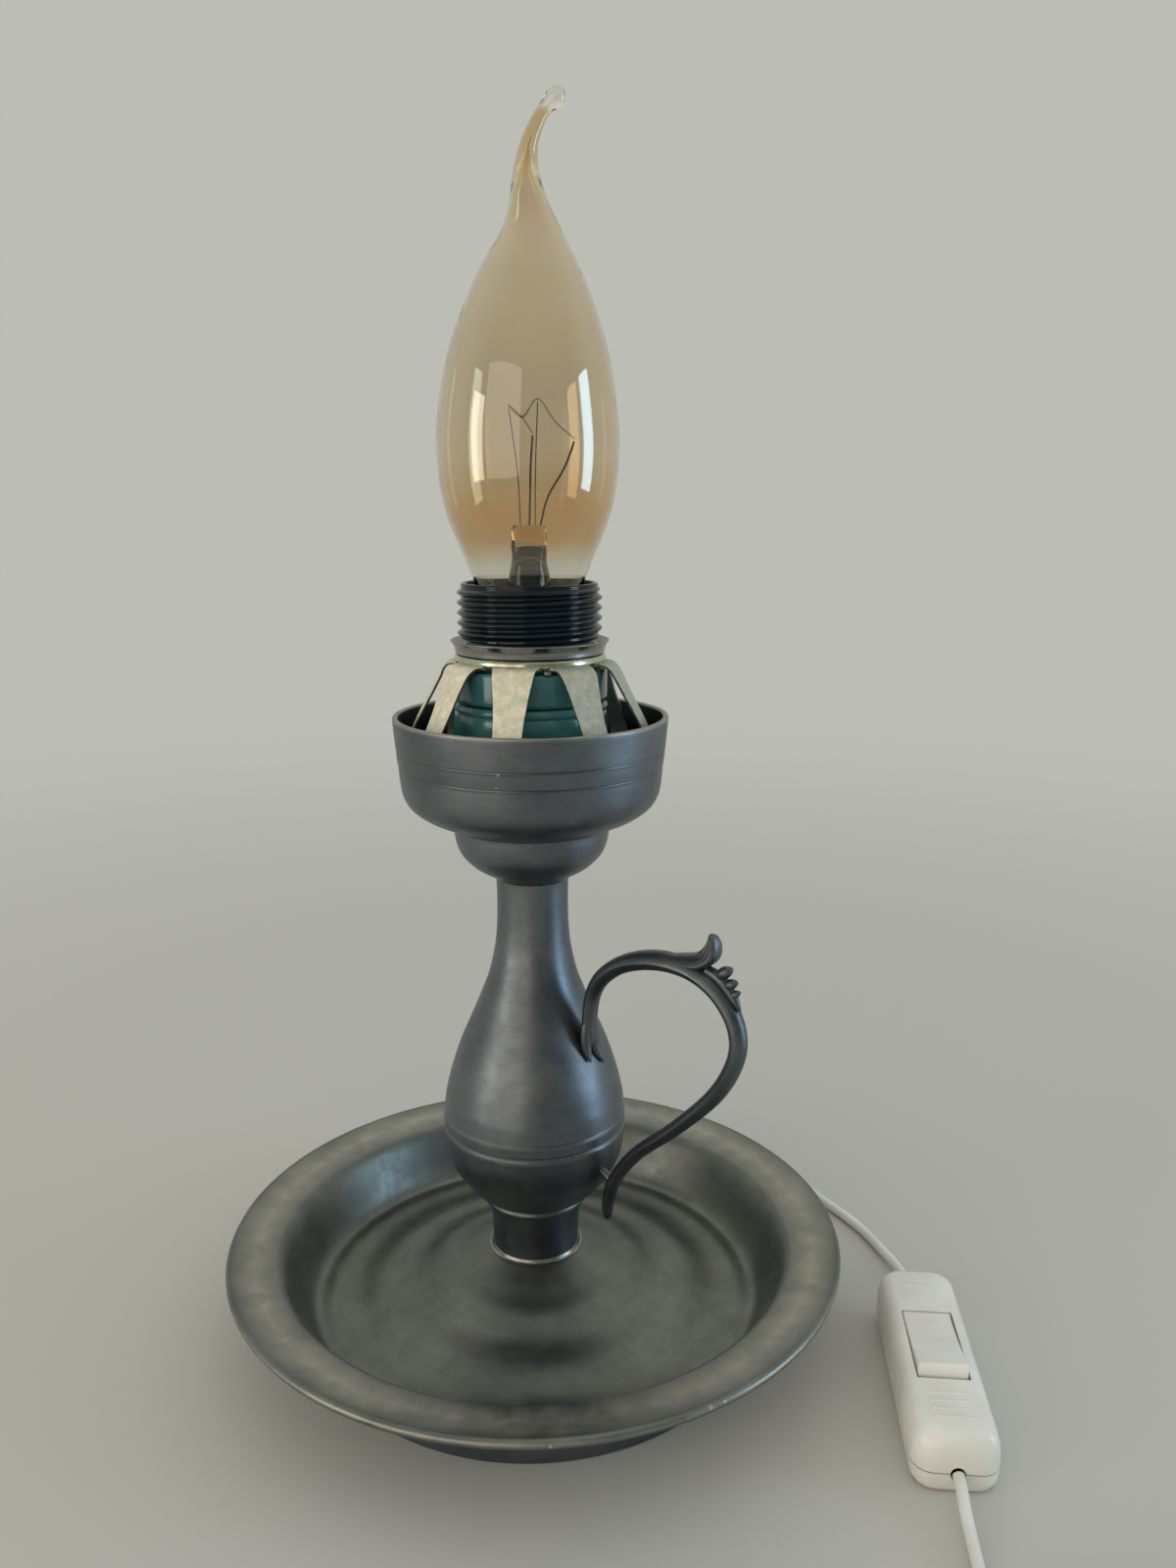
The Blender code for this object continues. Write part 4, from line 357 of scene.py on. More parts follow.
def outline(*runs, perSpan=5):
    # Each run is one smooth line; corners stay between the runs
    points = []
    for run in runs:
        dense = smoothPath([(r, 0, z) for r, z in run], perSpan) if len(run) > 2 else [
            Vector((r, 0, z)) for r, z in run]
        for p in dense:
            if not points or (points[-1] - p).length > 0.004:
                points.append(p)
    return points


def span(start, end, count):
    return [start + (end - start) * k / count for k in range(count + 1)]


def spunShape(points, steps, closed=True):
    bm = bmesh.new()
    verts = [bm.verts.new(p) for p in points]
    edges = [bm.edges.new(pair) for pair in zip(verts, verts[1:])]
    if closed:
        edges.append(bm.edges.new((verts[-1], verts[0])))
    bmesh.ops.spin(bm, geom=verts + edges, cent=(0, 0, 0), axis=(0, 0, 1),
                   angle=2 * math.pi, steps=steps, use_merge=True)
    bmesh.ops.remove_doubles(bm, verts=bm.verts, dist=0.0005)
    return bm


def softenEdges(bm, offset, angle=35.0, segments=2):
    bm.normal_update()
    bmesh.ops.recalc_face_normals(bm, faces=bm.faces)
    sharp = [e for e in bm.edges if len(e.link_faces) == 2 and e.calc_face_angle(0) > math.radians(angle)]
    bmesh.ops.bevel(bm, geom=sharp, offset=offset, segments=segments, profile=0.5,
                    affect="EDGES", material=-1, clamp_overlap=True)


def sweep(section, stations):
    # Extrudes a closed section from station to station; a station is a matrix
    bm = bmesh.new()
    ring = [bm.verts.new(stations[0] @ Vector((x, y, 0))) for x, y in section]
    edges = [bm.edges.new((a, b)) for a, b in zip(ring, ring[1:] + ring[:1])]
    bmesh.ops.edgeloop_fill(bm, edges=edges)
    last = stations[0]
    for station in stations[1:]:
        made = bmesh.ops.extrude_edge_only(bm, edges=edges)["geom"]
        verts = [g for g in made if isinstance(g, bmesh.types.BMVert)]
        edges = [g for g in made if isinstance(g, bmesh.types.BMEdge)
                 and all(v in verts for v in g.verts)]
        bmesh.ops.transform(bm, matrix=station @ last.inverted(), verts=verts)
        last = station
    bmesh.ops.edgeloop_fill(bm, edges=edges)
    return bm


def circle(count):
    return [(math.cos(2 * math.pi * k / count), math.sin(2 * math.pi * k / count)) for k in range(count)]


def station(place, along, side, wide, deep):
    # A section's x runs along side, its y across it, and the sweep goes along
    along = Vector(along).normalized()
    side = (Vector(side) - Vector(side).dot(along) * along).normalized()
    other = along.cross(side)
    turn = Matrix((side, other, along)).transposed().to_4x4()
    return Matrix.Translation(place) @ turn @ Matrix.Diagonal((wide, deep, 1.0, 1.0))


def tangents(points):
    last = len(points) - 1
    return [(points[min(i + 1, last)] - points[max(i - 1, 0)]).normalized() for i in range(last + 1)]


def joinShapes(bm, other):
    mesh = bpy.data.meshes.new("part")
    other.to_mesh(mesh)
    other.free()
    bm.from_mesh(mesh)
    bpy.data.meshes.remove(mesh)


def asObject(name, shape):
    mesh = bpy.data.meshes.new(name)
    shape.to_mesh(mesh)
    shape.free()
    return bpy.data.objects.new(name, mesh)


def placePiece(piece, body, replaced):
    bpy.context.scene.collection.objects.link(piece)
    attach(piece, body)
    if replaced is not None:
        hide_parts(*replaced)
    return piece


def finishPiece(name, bm, material, body, replaced=None, sharp=32.0, merge=0.0005):
    bmesh.ops.remove_doubles(bm, verts=bm.verts, dist=merge)
    bm.normal_update()
    bmesh.ops.recalc_face_normals(bm, faces=bm.faces)
    bm.transform(Matrix.Scale(mm, 4))
    piece = asObject(name, bm)
    piece.data.shade_smooth()
    piece.data.set_sharp_from_angle(angle=math.radians(sharp))
    piece.data.materials.append(material)
    return placePiece(piece, body, replaced)


def cutAway(bm, cutter, solver="EXACT"):
    # Boolean difference, with its result kept as plain mesh. The exact solver empties the lower
    # shell of the switch, so that one takes the manifold solver.
    pair = []
    for label, shape in (("kept", bm), ("cutter", cutter)):
        shape.normal_update()
        bmesh.ops.recalc_face_normals(shape, faces=shape.faces)
        pair.append(asObject(label, shape))
        bpy.context.scene.collection.objects.link(pair[-1])
    kept, tool = pair
    step = kept.modifiers.new("cut", "BOOLEAN")
    step.object = tool
    step.solver = solver
    graph = bpy.context.evaluated_depsgraph_get()
    result = bmesh.new()
    result.from_mesh(kept.evaluated_get(graph).data)
    for old in pair:
        mesh = old.data
        bpy.data.objects.remove(old)
        bpy.data.meshes.remove(mesh)
    return result


print("leads")
leadSettings = {
    "diameter": 2.2,
    "floor": 1.15,
    "exitAngle": 50.0,
    "exitHeight": 2.9,
    "footRadius": 46.0,
    "glandLength": 22.0,
    "switchPlace": (77.72, -30.62),
    "switchAngle": -97.7,
    "switchLength": 52.0,
    "switchSplit": 4.2,
    "coilCentre": (89.3, -109.0),
    "coilMiddle": 13.2,
    "coilStep": 2.62,
    "coilTurns": 16.75,
    "coilLayers": 4,
    "coilFloor": 1.9,
    "plugPlace": (28.0, -113.0),
    "plugRelief": 22.0,
    "plugHeight": 6.85,
}
leadGap = 0.3
leadThick = leadSettings["diameter"]
leadFloor = leadSettings["floor"]


def switchEnd(side, beyond=0.0, height=leadSettings["switchSplit"]):
    a = math.radians(leadSettings["switchAngle"])
    reach = side * (leadSettings["switchLength"] / 2 + leadGap + beyond)
    x, y = leadSettings["switchPlace"]
    return Vector((x + reach * math.cos(a), y + reach * math.sin(a), height))


def coilPoints(perTurn):
    turns = leadSettings["coilTurns"]
    layers = leadSettings["coilLayers"]
    step = leadSettings["coilStep"]
    layerTurns = turns / layers
    reach = step * layerTurns
    outside = leadSettings["coilMiddle"] + reach / 2
    points = []
    for k in range(round(turns * perTurn) + 1):
        done = k / perTurn
        layer = min(int(done / layerTurns), layers - 1)
        share = done / layerTurns - layer
        inward = share if layer % 2 == 0 else 1 - share
        rise = sum(min(max((done - change * layerTurns) / 0.5 + 0.5, 0.0), 1.0)
                   for change in range(1, layers))
        p = radial(180 + 360 * done, outside - reach * inward, leadSettings["coilFloor"] + step * rise)
        points.append(p + Vector((*leadSettings["coilCentre"], 0)))
    return points


def onTable(points):
    return [Vector((p.x, p.y, max(p.z, leadFloor))) for p in smoothPath(points, 8)]


def evenly(points, count):
    steps = [(b - a).length for a, b in zip(points, points[1:])]
    total = sum(steps)
    out, run, index = [points[0]], 0.0, 0
    for k in range(1, count):
        mark = total * k / count
        while run + steps[index] < mark:
            run += steps[index]
            index += 1
        out.append(points[index].lerp(points[index + 1], (mark - run) / steps[index]))
    return out + [points[-1]]


def lineLength(points):
    return sum((b - a).length for a, b in zip(points, points[1:]))


def wire(name, points, radius, material, body, replaced, sides=3, resolution=4):
    curve = bpy.data.curves.new(name, "CURVE")
    curve.dimensions = "3D"
    curve.bevel_depth = radius * mm
    curve.bevel_resolution = sides
    curve.resolution_u = resolution
    curve.use_fill_caps = True
    spline = curve.splines.new("BEZIER")
    spline.bezier_points.add(len(points) - 1)
    for knot, p in zip(spline.bezier_points, points):
        knot.co = Vector(p) * mm
        knot.handle_left_type = knot.handle_right_type = "AUTO"
    curve.materials.append(material)
    return placePiece(bpy.data.objects.new(name, curve), body, replaced)


exitAngle = leadSettings["exitAngle"]
exitHeight = leadSettings["exitHeight"]
reliefEnd = leadSettings["footRadius"] + leadGap + leadSettings["glandLength"]
leadRoute = onTable([
    radial(exitAngle, reliefEnd + leadGap, exitHeight), radial(exitAngle, reliefEnd + 3, 2.7),
    (50.5, 59.3, leadFloor + 0.8), (56.6, 61.0, leadFloor), (62.4, 57.4, leadFloor),
    (66.8, 49.6, leadFloor), (71.2, 40.3, leadFloor), (75.4, 32.4, leadFloor),
    (78.6, 25.0, leadFloor), (80.9, 16.2, leadFloor + 0.2), (81.9, 8.6, leadFloor + 1.2),
    switchEnd(-1, 5.0, leadSettings["switchSplit"] - 0.6), switchEnd(-1, leadThick), switchEnd(-1),
])
coil = coilPoints(24)
coilStart = coil[0] + Vector((0, leadThick, 0))
tailRoute = onTable([
    switchEnd(1), switchEnd(1, leadThick), switchEnd(1, 8.0, leadSettings["switchSplit"] - 1.6),
    (71.6, -78.0, leadFloor), (70.6, -88.0, leadFloor), coilStart + Vector((0, leadGap + 8.0, -0.4)),
    coilStart + Vector((0, leadGap + leadThick, 0)), coilStart + Vector((0, leadGap, 0)),
])
coilEnd = coil[-1] + Vector((-leadThick, 0, 0))
leave = coilEnd + Vector((-leadGap, 0, 0))
plugX = leadSettings["plugPlace"][0] + leadSettings["plugRelief"] + leadGap
plugY = leadSettings["plugPlace"][1]
plugZ = leadSettings["plugHeight"]
plugRoute = onTable([
    leave, leave + Vector((-leadThick, 0, 0)), (79.0, leave.y - 0.2, leave.z - 1.2),
    (71.0, leave.y - 1.6, 5.2), (64.6, leave.y - 5.0, 2.2), (61.0, leave.y - 11.0, leadFloor),
    (60.0, leave.y - 16.5, 1.6), (plugX + leadThick + 4.6, plugY + 2.2, plugZ - 2.6),
    (plugX + leadThick, plugY, plugZ), (plugX, plugY, plugZ),
])
freeLead = evenly(leadRoute, 34)
woundLead = evenly(tailRoute, 20)[:-1] + [coilStart] + coilPoints(16)[1:]
woundLead += evenly([coilEnd] + plugRoute, 18)
lead = wire("lead_to_switch", freeLead, leadThick / 2, whiteFlex, "lamp", ["cord_lead"], 4, 4)
supply = wire("supply_lead", woundLead, leadThick / 2, whiteFlex, "lamp",
              ["cord_tail", "cord_coil", "plug_lead"], 3, 3)
innerRoute = smoothPath([
    radial(exitAngle, 41.59, exitHeight), radial(exitAngle, 37.9, exitHeight), radial(exitAngle, 28, 2.0),
    radial(exitAngle, 15, 2.0), radial(exitAngle, 6.5, 3.2), radial(exitAngle, 1.8, 8.4),
    (0, 0, 16.4), (0, 0, 64.0), (0, 0, 119.55),
], 8)
wire("lead_inside", evenly(innerRoute, 30), leadThick / 2, whiteFlex, "lamp", ["inner_cord"], 3, 3)


print("dish")
dishSettings = {
    "bore": 5.2, "flat": 9.8, "well": 46.0, "rim": 64.3, "band": 54.3,
    "floor": 7.2, "rise": 10.1, "rimTop": 20.3, "slope": 1.2, "edge": 1.9, "sheet": 1.1,
    "wave": 0.45, "pitch": 12.5, "crest": 32.0, "dents": 0.16, "dentSize": 26.0, "steps": 176,
}


def dishHeight(r):
    d = dishSettings
    bandHeight = d["rimTop"] - d["slope"]
    if r <= d["flat"]:
        height = d["floor"] + d["rise"]
    elif r <= d["well"]:
        t = (r - d["flat"]) / (d["well"] - d["flat"])
        height = d["floor"] + d["rise"] * (1 - t) ** 1.54
    elif r <= d["band"]:
        height = d["floor"] + (bandHeight - d["floor"]) * ease((r - d["well"]) / (d["band"] - d["well"]))
    else:
        height = bandHeight + d["slope"] * (r - d["band"]) / (d["rim"] - d["band"])
    fade = ease((r - d["flat"] - 4) / 8) * (1 - ease((r - d["well"] + 4) / 4))
    return height + d["wave"] * math.cos(2 * math.pi * (r - d["crest"]) / d["pitch"]) * fade


def makeDish():
    d = dishSettings
    edge = d["edge"] / 2
    top = [(d["bore"], d["floor"] + d["rise"])]
    top += [(r, dishHeight(r)) for r in span(d["flat"], d["band"], 64)]
    top += [(r, dishHeight(r)) for r in span(d["band"] + 1, d["rim"] - edge - 0.2, 5)]
    turn = [(d["rim"] - edge + edge * math.sin(a), d["rimTop"] - edge + edge * math.cos(a))
            for a in span(0, math.pi * 0.86, 9)]
    under = []
    for shift, start, end, count in ((0.4, d["band"] + 0.8, d["rim"] - 2.6, 5),
                                     (-1.0, d["well"], d["band"] + 0.4, 14),
                                     (0.0, d["flat"], d["well"] - 1.0, 44)):
        under += [(r, dishHeight(r + shift) - d["sheet"]) for r in reversed(span(start, end, count))]
    under.append((d["bore"], d["floor"] + d["rise"] - d["sheet"]))
    points = [Vector((r, 0, z)) for r, z in top + turn + under]
    bm = spunShape(points, d["steps"])
    for v in bm.verts:
        r = v.co.xy.length
        fade = ease((r - 14) / 8) * (1 - ease((r - 44) / 8))
        where = Vector((v.co.x, v.co.y, 0)) / d["dentSize"]
        v.co.z += d["dents"] * fade * noise.noise(where + Vector((3.1, 8.2, 0.4)))
    return finishPiece("dish_turned", bm, dishPewter, "lamp", ["dish"], 40)


def makeFoot():
    points = outline([(43.4, 0.2), (43.4, 5.8)], [(45.8, 5.8)], [(45.8, 5.8), (45.95, 3.2), (46.0, 0.9)],
                     [(46.0, 0.7), (45.6, 0.15), (45.1, 0.0)], [(43.7, 0.0)])
    bm = spunShape(points, 160)
    drill = bmesh.new()
    bmesh.ops.create_cone(drill, cap_ends=True, segments=32, radius1=2.0, radius2=2.0, depth=9.0)
    drill.transform(Matrix.Translation(radial(exitAngle, 44.8, exitHeight)) @ turnBy(exitAngle)
                    @ turnBy(90, "Y"))
    return finishPiece("foot_turned", cutAway(bm, drill), spunPewter, "lamp", ["foot_ring"])


def makeRelief(length, thick, neck, flange, wallIn, wallOut, tip):
    # A moulded gland: flange, wall groove, then a ringed taper
    runs = [[(0, -wallIn), (flange, -wallIn)], [(flange, 0.0), (neck, 0.0)],
            [(neck, wallOut), (flange, wallOut)], [(flange, wallOut + 1.1)]]
    ribs = 6
    for k in range(ribs):
        share = k / ribs
        start = wallOut + 1.6 + share * (length - 2.4)
        wide = thick + (tip + 0.15 - thick) * share
        pitch = (length - 2.4) / ribs
        runs.append([(wide - 0.42, start), (wide, start + 0.25 * pitch), (wide, start + 0.6 * pitch),
                     (wide - 0.42, start + 0.85 * pitch)])
    runs.append([(tip, wallOut + length), (0, wallOut + length)])
    return spunShape(outline(*runs, perSpan=3), 28, False)


makeDish()
makeFoot()
relief = makeRelief(leadSettings["glandLength"], 1.75, 1.7, 2.5, 1.0, 2.85, 1.3)
relief.transform(Matrix.Translation(radial(exitAngle, 43.1, exitHeight)) @ turnBy(exitAngle)
                 @ turnBy(90, "Y"))
finishPiece("lead_gland", relief, whiteFlex, "lamp", ["strain_relief"])


print("stem")
stemSettings = {"wall": 1.6, "steps": 120, "groove": 0.36, "grooveHalf": 0.42}
collarProfile = [(9.0, 17.6), (9.05, 20.0), (9.2, 23.5), (9.5, 26.6), (9.75, 27.7)]
lowerProfile = [(10.85, 29.9), (11.75, 30.35), (13.7, 32.0), (15.9, 35.0), (17.6, 38.0), (18.55, 41.4),
                (18.88, 45.5)]
upperProfile = [
    (18.88, 46.5), (18.82, 48.6), (18.45, 51.8), (18.1, 53.6), (17.25, 57.1), (16.15, 60.6), (14.9, 64.1),
    (13.4, 67.6), (11.9, 71.1), (10.5, 74.5), (9.2, 77.9), (8.3, 81.3), (7.65, 84.7), (7.32, 88.0),
    (7.18, 91.2), (7.15, 95.5), (7.2, 97.6),
]


def radiusOn(profile, z):
    points = smoothPath([(r, 0, h) for r, h in profile], 8)
    for a, b in zip(points, points[1:]):
        if a.z <= z <= b.z:
            return a.x + (b.x - a.x) * (z - a.z) / max(b.z - a.z, 1e-6)
    return points[0].x if z < points[0].z else points[-1].x


def withGroove(profile, z):
    s = stemSettings
    low = [p for p in profile if p[1] < z - 1.4 * s["grooveHalf"]]
    high = [p for p in profile if p[1] > z + 1.4 * s["grooveHalf"]]
    r = radiusOn(profile, z)
    lowEdge = (radiusOn(profile, z - s["grooveHalf"]), z - s["grooveHalf"])
    highEdge = (radiusOn(profile, z + s["grooveHalf"]), z + s["grooveHalf"])
    cut = [lowEdge, (r - s["groove"], z + 0.4 * s["grooveHalf"]), highEdge]
    return low + [lowEdge], cut, [highEdge] + high


def inside(profile, wall, count=12):
    low, high = profile[0][1], profile[-1][1]
    return [(radiusOn(profile, z) - wall, z) for z in reversed(span(low, high, count))]


def makeStem():
    s = stemSettings
    collar = outline(
        [(5.3, 17.6), (9.0, 17.6)], collarProfile,
        [(9.75, 27.75), (10.35, 27.95), (10.8, 28.5), (10.8, 29.1), (10.5, 29.6), (10.2, 29.86)],
        [(5.3, 29.86)])
    lip = [(18.88, 45.5), (18.78, 45.75), (18.5, 46.12)]
    lower = outline([(5.3, 29.9), (10.85, 29.9)], lowerProfile, lip, [(17.2, 46.12)],
                    inside(lowerProfile[1:], s["wall"]), [(5.3, 31.6)])
    first, cut, rest = withGroove(upperProfile, 48.6)
    start = [(18.5, 46.15), (18.78, 46.4), (18.88, 46.6)]
    upper = outline([(17.2, 46.15)], start, first, cut, rest, [(7.3, 98.72)], [(5.3, 98.72)],
                    inside([p for p in upperProfile if p[1] < 80], s["wall"]))
    for node, points in (("stem_collar", collar), ("stem_lower", lower), ("stem_upper", upper)):
        finishPiece(node + "_turned", spunShape(points, s["steps"]), spunPewter, "lamp", [node])
    fillet = outline([(8.4, 17.3), (9.8, 17.3)], [(9.8, 17.34), (9.45, 17.5), (9.25, 17.85)], [(9.1, 18.05)],
                     [(9.04, 18.05), (9.04, 17.55)], [(8.4, 17.55)])
    finishPiece("collar_solder", spunShape(fillet, 96), leadSolder, "lamp")


# Below darkBelow the inside takes a dark pewter as painted shade, and so does the floor below floorBelow
cupSettings = {
    "steps": 150, "bowlWall": 1.3, "grooveLow": 121.8, "grooveHigh": 125.1, "darkBelow": 131.2,
    "floorBelow": 112.5,
}


def makeCup():
    c = cupSettings
    bowl = [(7.5, 98.75), (8.3, 99.5), (10.7, 100.85), (12.25, 102.0), (14.07, 104.0), (14.96, 106.0),
            (15.33, 107.8), (15.42, 109.0), (15.5, 109.62)]
    shell = outline([(5.3, 98.75)], bowl, [(14.0, 109.62)], inside(bowl[2:], c["bowlWall"]), [(5.3, 101.6)])
    finishPiece("cup_bowl_turned", spunShape(shell, c["steps"]), spunPewter, "lamp", ["cup_bowl"])
    wall = [(15.6, 109.7), (16.6, 110.15), (18.6, 110.95), (20.9, 111.95), (22.6, 113.0), (23.9, 114.1),
            (24.7, 115.2), (25.3, 116.6), (25.6, 118.2), (25.85, 120.5), (25.95, 121.8), (26.2, 123.6),
            (26.35, 125.1), (26.6, 127.8), (26.88, 131.0)]
    first, cutA, rest = withGroove(wall, c["grooveLow"])
    second, cutB, last = withGroove(rest, c["grooveHigh"])
    lip = [(26.88, 131.0), (26.86, 131.5), (26.6, 131.7), (26.1, 131.7), (25.85, 131.5), (25.8, 131.0)]
    inner = [(25.8, 131.0), (25.2, 124.0), (24.55, 118.2), (24.1, 116.4), (23.2, 114.6), (21.6, 112.9),
             (19.4, 111.6), (16.6, 110.85), (14.5, 110.75)]
    points = outline([(5.3, 109.65)], [(15.5, 109.65)], first, cutA, second, cutB, last, lip, inner,
                     [(5.3, 110.75)])
    cup = finishPiece("cup_turned", spunShape(points, c["steps"]), cupPewter, "lamp", ["cup"])
    cup.data.materials.append(cupInsideShade)
    # Inside faces below darkBelow and the hidden floor take the dark pewter as painted shade
    for face in cup.data.polygons:
        facing = face.normal.x * face.center.x + face.normal.y * face.center.y
        hidden = face.center.z < c["floorBelow"] * mm and face.normal.z > 0.5
        face.material_index = int(face.center.z < c["darkBelow"] * mm and (facing < 0 or hidden))


makeStem()
makeCup()


print("handle")
handleSettings = {"angle": -42.0}
handleTurn = math.radians(handleSettings["angle"])
handleOut = Vector((math.cos(handleTurn), math.sin(handleTurn), 0))
handleSide = Vector((math.sin(handleTurn), -math.cos(handleTurn), 0))


def onHandle(out, height, aside=0.0):
    return handleOut * out + up * height + handleSide * aside


def handleStations(rows, perSpan):
    # Rows hold distance out, height, width and depth; the strap stays in its own upright plane
    places = smoothPath([onHandle(row[0], row[1], row[4] if len(row) > 4 else 0.0) for row in rows], perSpan)
    sizes = smoothPath([(row[2], row[3], 0) for row in rows], perSpan)
    return [station(p, t, handleSide, size.x / 2, size.y / 2)
            for p, t, size in zip(places, tangents(places), sizes)]


strapSection = [(1.0, 0.10), (0.94, 0.32), (0.62, 0.78), (0.30, 0.97), (-0.30, 0.97), (-0.62, 0.78),
                (-0.94, 0.32), (-1.0, 0.10), (-0.94, -0.16), (-0.60, -0.66), (-0.28, -0.86),
                (0.28, -0.86), (0.60, -0.66), (0.94, -0.16)]


def makeHandle():
    strap = [
        (15.1, 66.8, 2.6, 1.2), (14.95, 69.2, 3.6, 2.1), (14.8, 72.0, 4.0, 2.7), (15.7, 77.4, 4.2, 3.0),
        (18.5, 82.0, 4.6, 3.4), (24.2, 86.1, 5.2, 3.8), (32.0, 88.4, 5.4, 4.0), (39.5, 88.1, 5.0, 3.8),
        (45.4, 85.1, 4.6, 3.6), (49.2, 79.7, 4.2, 3.4), (49.4, 73.4, 4.2, 3.4), (45.2, 65.1, 4.1, 3.3),
        (36.4, 55.5, 4.0, 3.1), (27.1, 46.9, 3.9, 2.9), (21.8, 39.6, 3.8, 2.7), (20.0, 34.4, 3.4, 2.4),
        (19.7, 31.2, 2.6, 1.8), (19.75, 30.0, 1.4, 1.1),
    ]
    bm = sweep(strapSection, handleStations(strap, 7))
    lobe = circle(20)
    # The leaf at the strap's foot, with a groove between its two points, and the lug below
    right = [
        (14.95, 74.0, 0.8, 0.6, -0.4), (14.85, 71.4, 2.2, 1.8, -0.8), (14.8, 68.6, 2.7, 1.9, -1.25),
        (14.85, 66.2, 2.8, 1.8, -1.75), (15.2, 64.2, 2.2, 1.5, -2.3), (15.6, 62.8, 1.3, 1.0, -2.9),
        (15.85, 61.9, 0.4, 0.4, -3.2),
    ]
    left = [
        (14.95, 74.0, 0.8, 0.6, 0.4), (14.85, 71.4, 2.2, 1.8, 0.8), (14.8, 68.6, 2.6, 1.9, 1.05),
        (14.85, 66.4, 2.5, 1.7, 0.95), (15.2, 64.8, 1.8, 1.3, 0.85), (15.6, 63.8, 1.0, 0.8, 0.8),
        (15.75, 63.2, 0.4, 0.35, 0.75),
    ]
    lug = [(17.4, 40.4, 1.7, 1.5), (19.6, 39.4, 1.8, 1.6), (21.3, 38.2, 2.2, 2.0)]
    for rows in (right, left, lug):
        joinShapes(bm, sweep(lobe, handleStations(rows, 4)))
    # The leaf that rises from the arch and curls into the thumb-piece, hollowed along both sides
    leaf = [
        (32.0, 89.0, 2.4, 1.0), (36.0, 89.6, 3.6, 1.9), (39.5, 90.1, 4.5, 2.7), (41.6, 90.8, 4.8, 3.2),
        (43.1, 92.0, 4.6, 3.4), (43.75, 93.6, 3.8, 2.7), (43.75, 94.9, 2.8, 1.9), (43.4, 95.6, 1.8, 1.2),
        (43.1, 95.95, 0.6, 0.4),
    ]
    hollowed = [(0.0, 1.0), (-0.55, 0.92), (-0.95, 0.58), (-0.80, 0.12), (-0.74, -0.08), (-0.96, -0.52),
                (-0.58, -0.92), (0.0, -1.0), (0.58, -0.92), (0.96, -0.52), (0.74, -0.08), (0.80, 0.12),
                (0.95, 0.58), (0.55, 0.92), (0.0, 1.0)]
    hollowed = [(p.x, p.y) for p in smoothPath([(x, y, 0) for x, y in hollowed], 3)[:-1]]
    joinShapes(bm, sweep(hollowed, handleStations(leaf, 6)))
    # The stalk behind it, with three buds that point outwards
    buds = [
        [(42.6, 89.0, 2.2, 1.8), (45.2, 88.1, 2.6, 2.2), (47.1, 86.4, 2.3, 2.0), (48.7, 84.6, 1.8, 1.6),
         (49.9, 82.8, 0.6, 0.5)],
        [(44.9, 88.0, 1.8, 1.5), (46.2, 89.2, 2.7, 2.3), (47.2, 89.9, 2.3, 1.8), (47.9, 90.4, 0.9, 0.6)],
        [(46.5, 86.6, 1.6, 1.3), (47.7, 87.4, 2.3, 2.0), (48.6, 87.8, 1.8, 1.4), (49.2, 87.95, 0.7, 0.5)],
        [(47.9, 85.0, 1.4, 1.1), (48.8, 85.8, 1.8, 1.5), (49.4, 86.2, 1.2, 0.9), (49.85, 86.3, 0.5, 0.4)],
    ]
    for rows in buds:
        joinShapes(bm, sweep(lobe, handleStations(rows, 5)))
    return finishPiece("scroll_handle", bm, castPewter, "lamp", ["handle"], 28, 0.0001)


makeHandle()


print("lampholder")
holderSettings = {
    "root": 13.15, "crest": 13.95, "pitch": 1.92, "threadLow": 146.7, "threadHigh": 156.5, "steps": 144,
    "tealBelow": 144.5,
}


def threadShape(points, settings, width=0.62):
    # A turned wall whose outside is pushed out along a helix
    root, crest, pitch = settings["root"], settings["crest"], settings["pitch"]
    low, high = settings["threadLow"], settings["threadHigh"]
    bm = spunShape(points, settings["steps"])
    for v in bm.verts:
        r = v.co.xy.length
        if r > root - 0.02 and low - 1.5 < v.co.z < high + 1.5:
            angle = math.atan2(v.co.y, v.co.x) / (2 * math.pi)
            phase = (v.co.z - low) / pitch - angle
            bulge = 0.5 + 0.5 * math.cos(2 * math.pi * phase)
            fade = ease((v.co.z - low) / (0.45 * pitch)) * ease((high - v.co.z) / (0.45 * pitch))
            push = (crest - root) * bulge ** width * fade
            v.co.xy *= (r + push) / r
    return bm


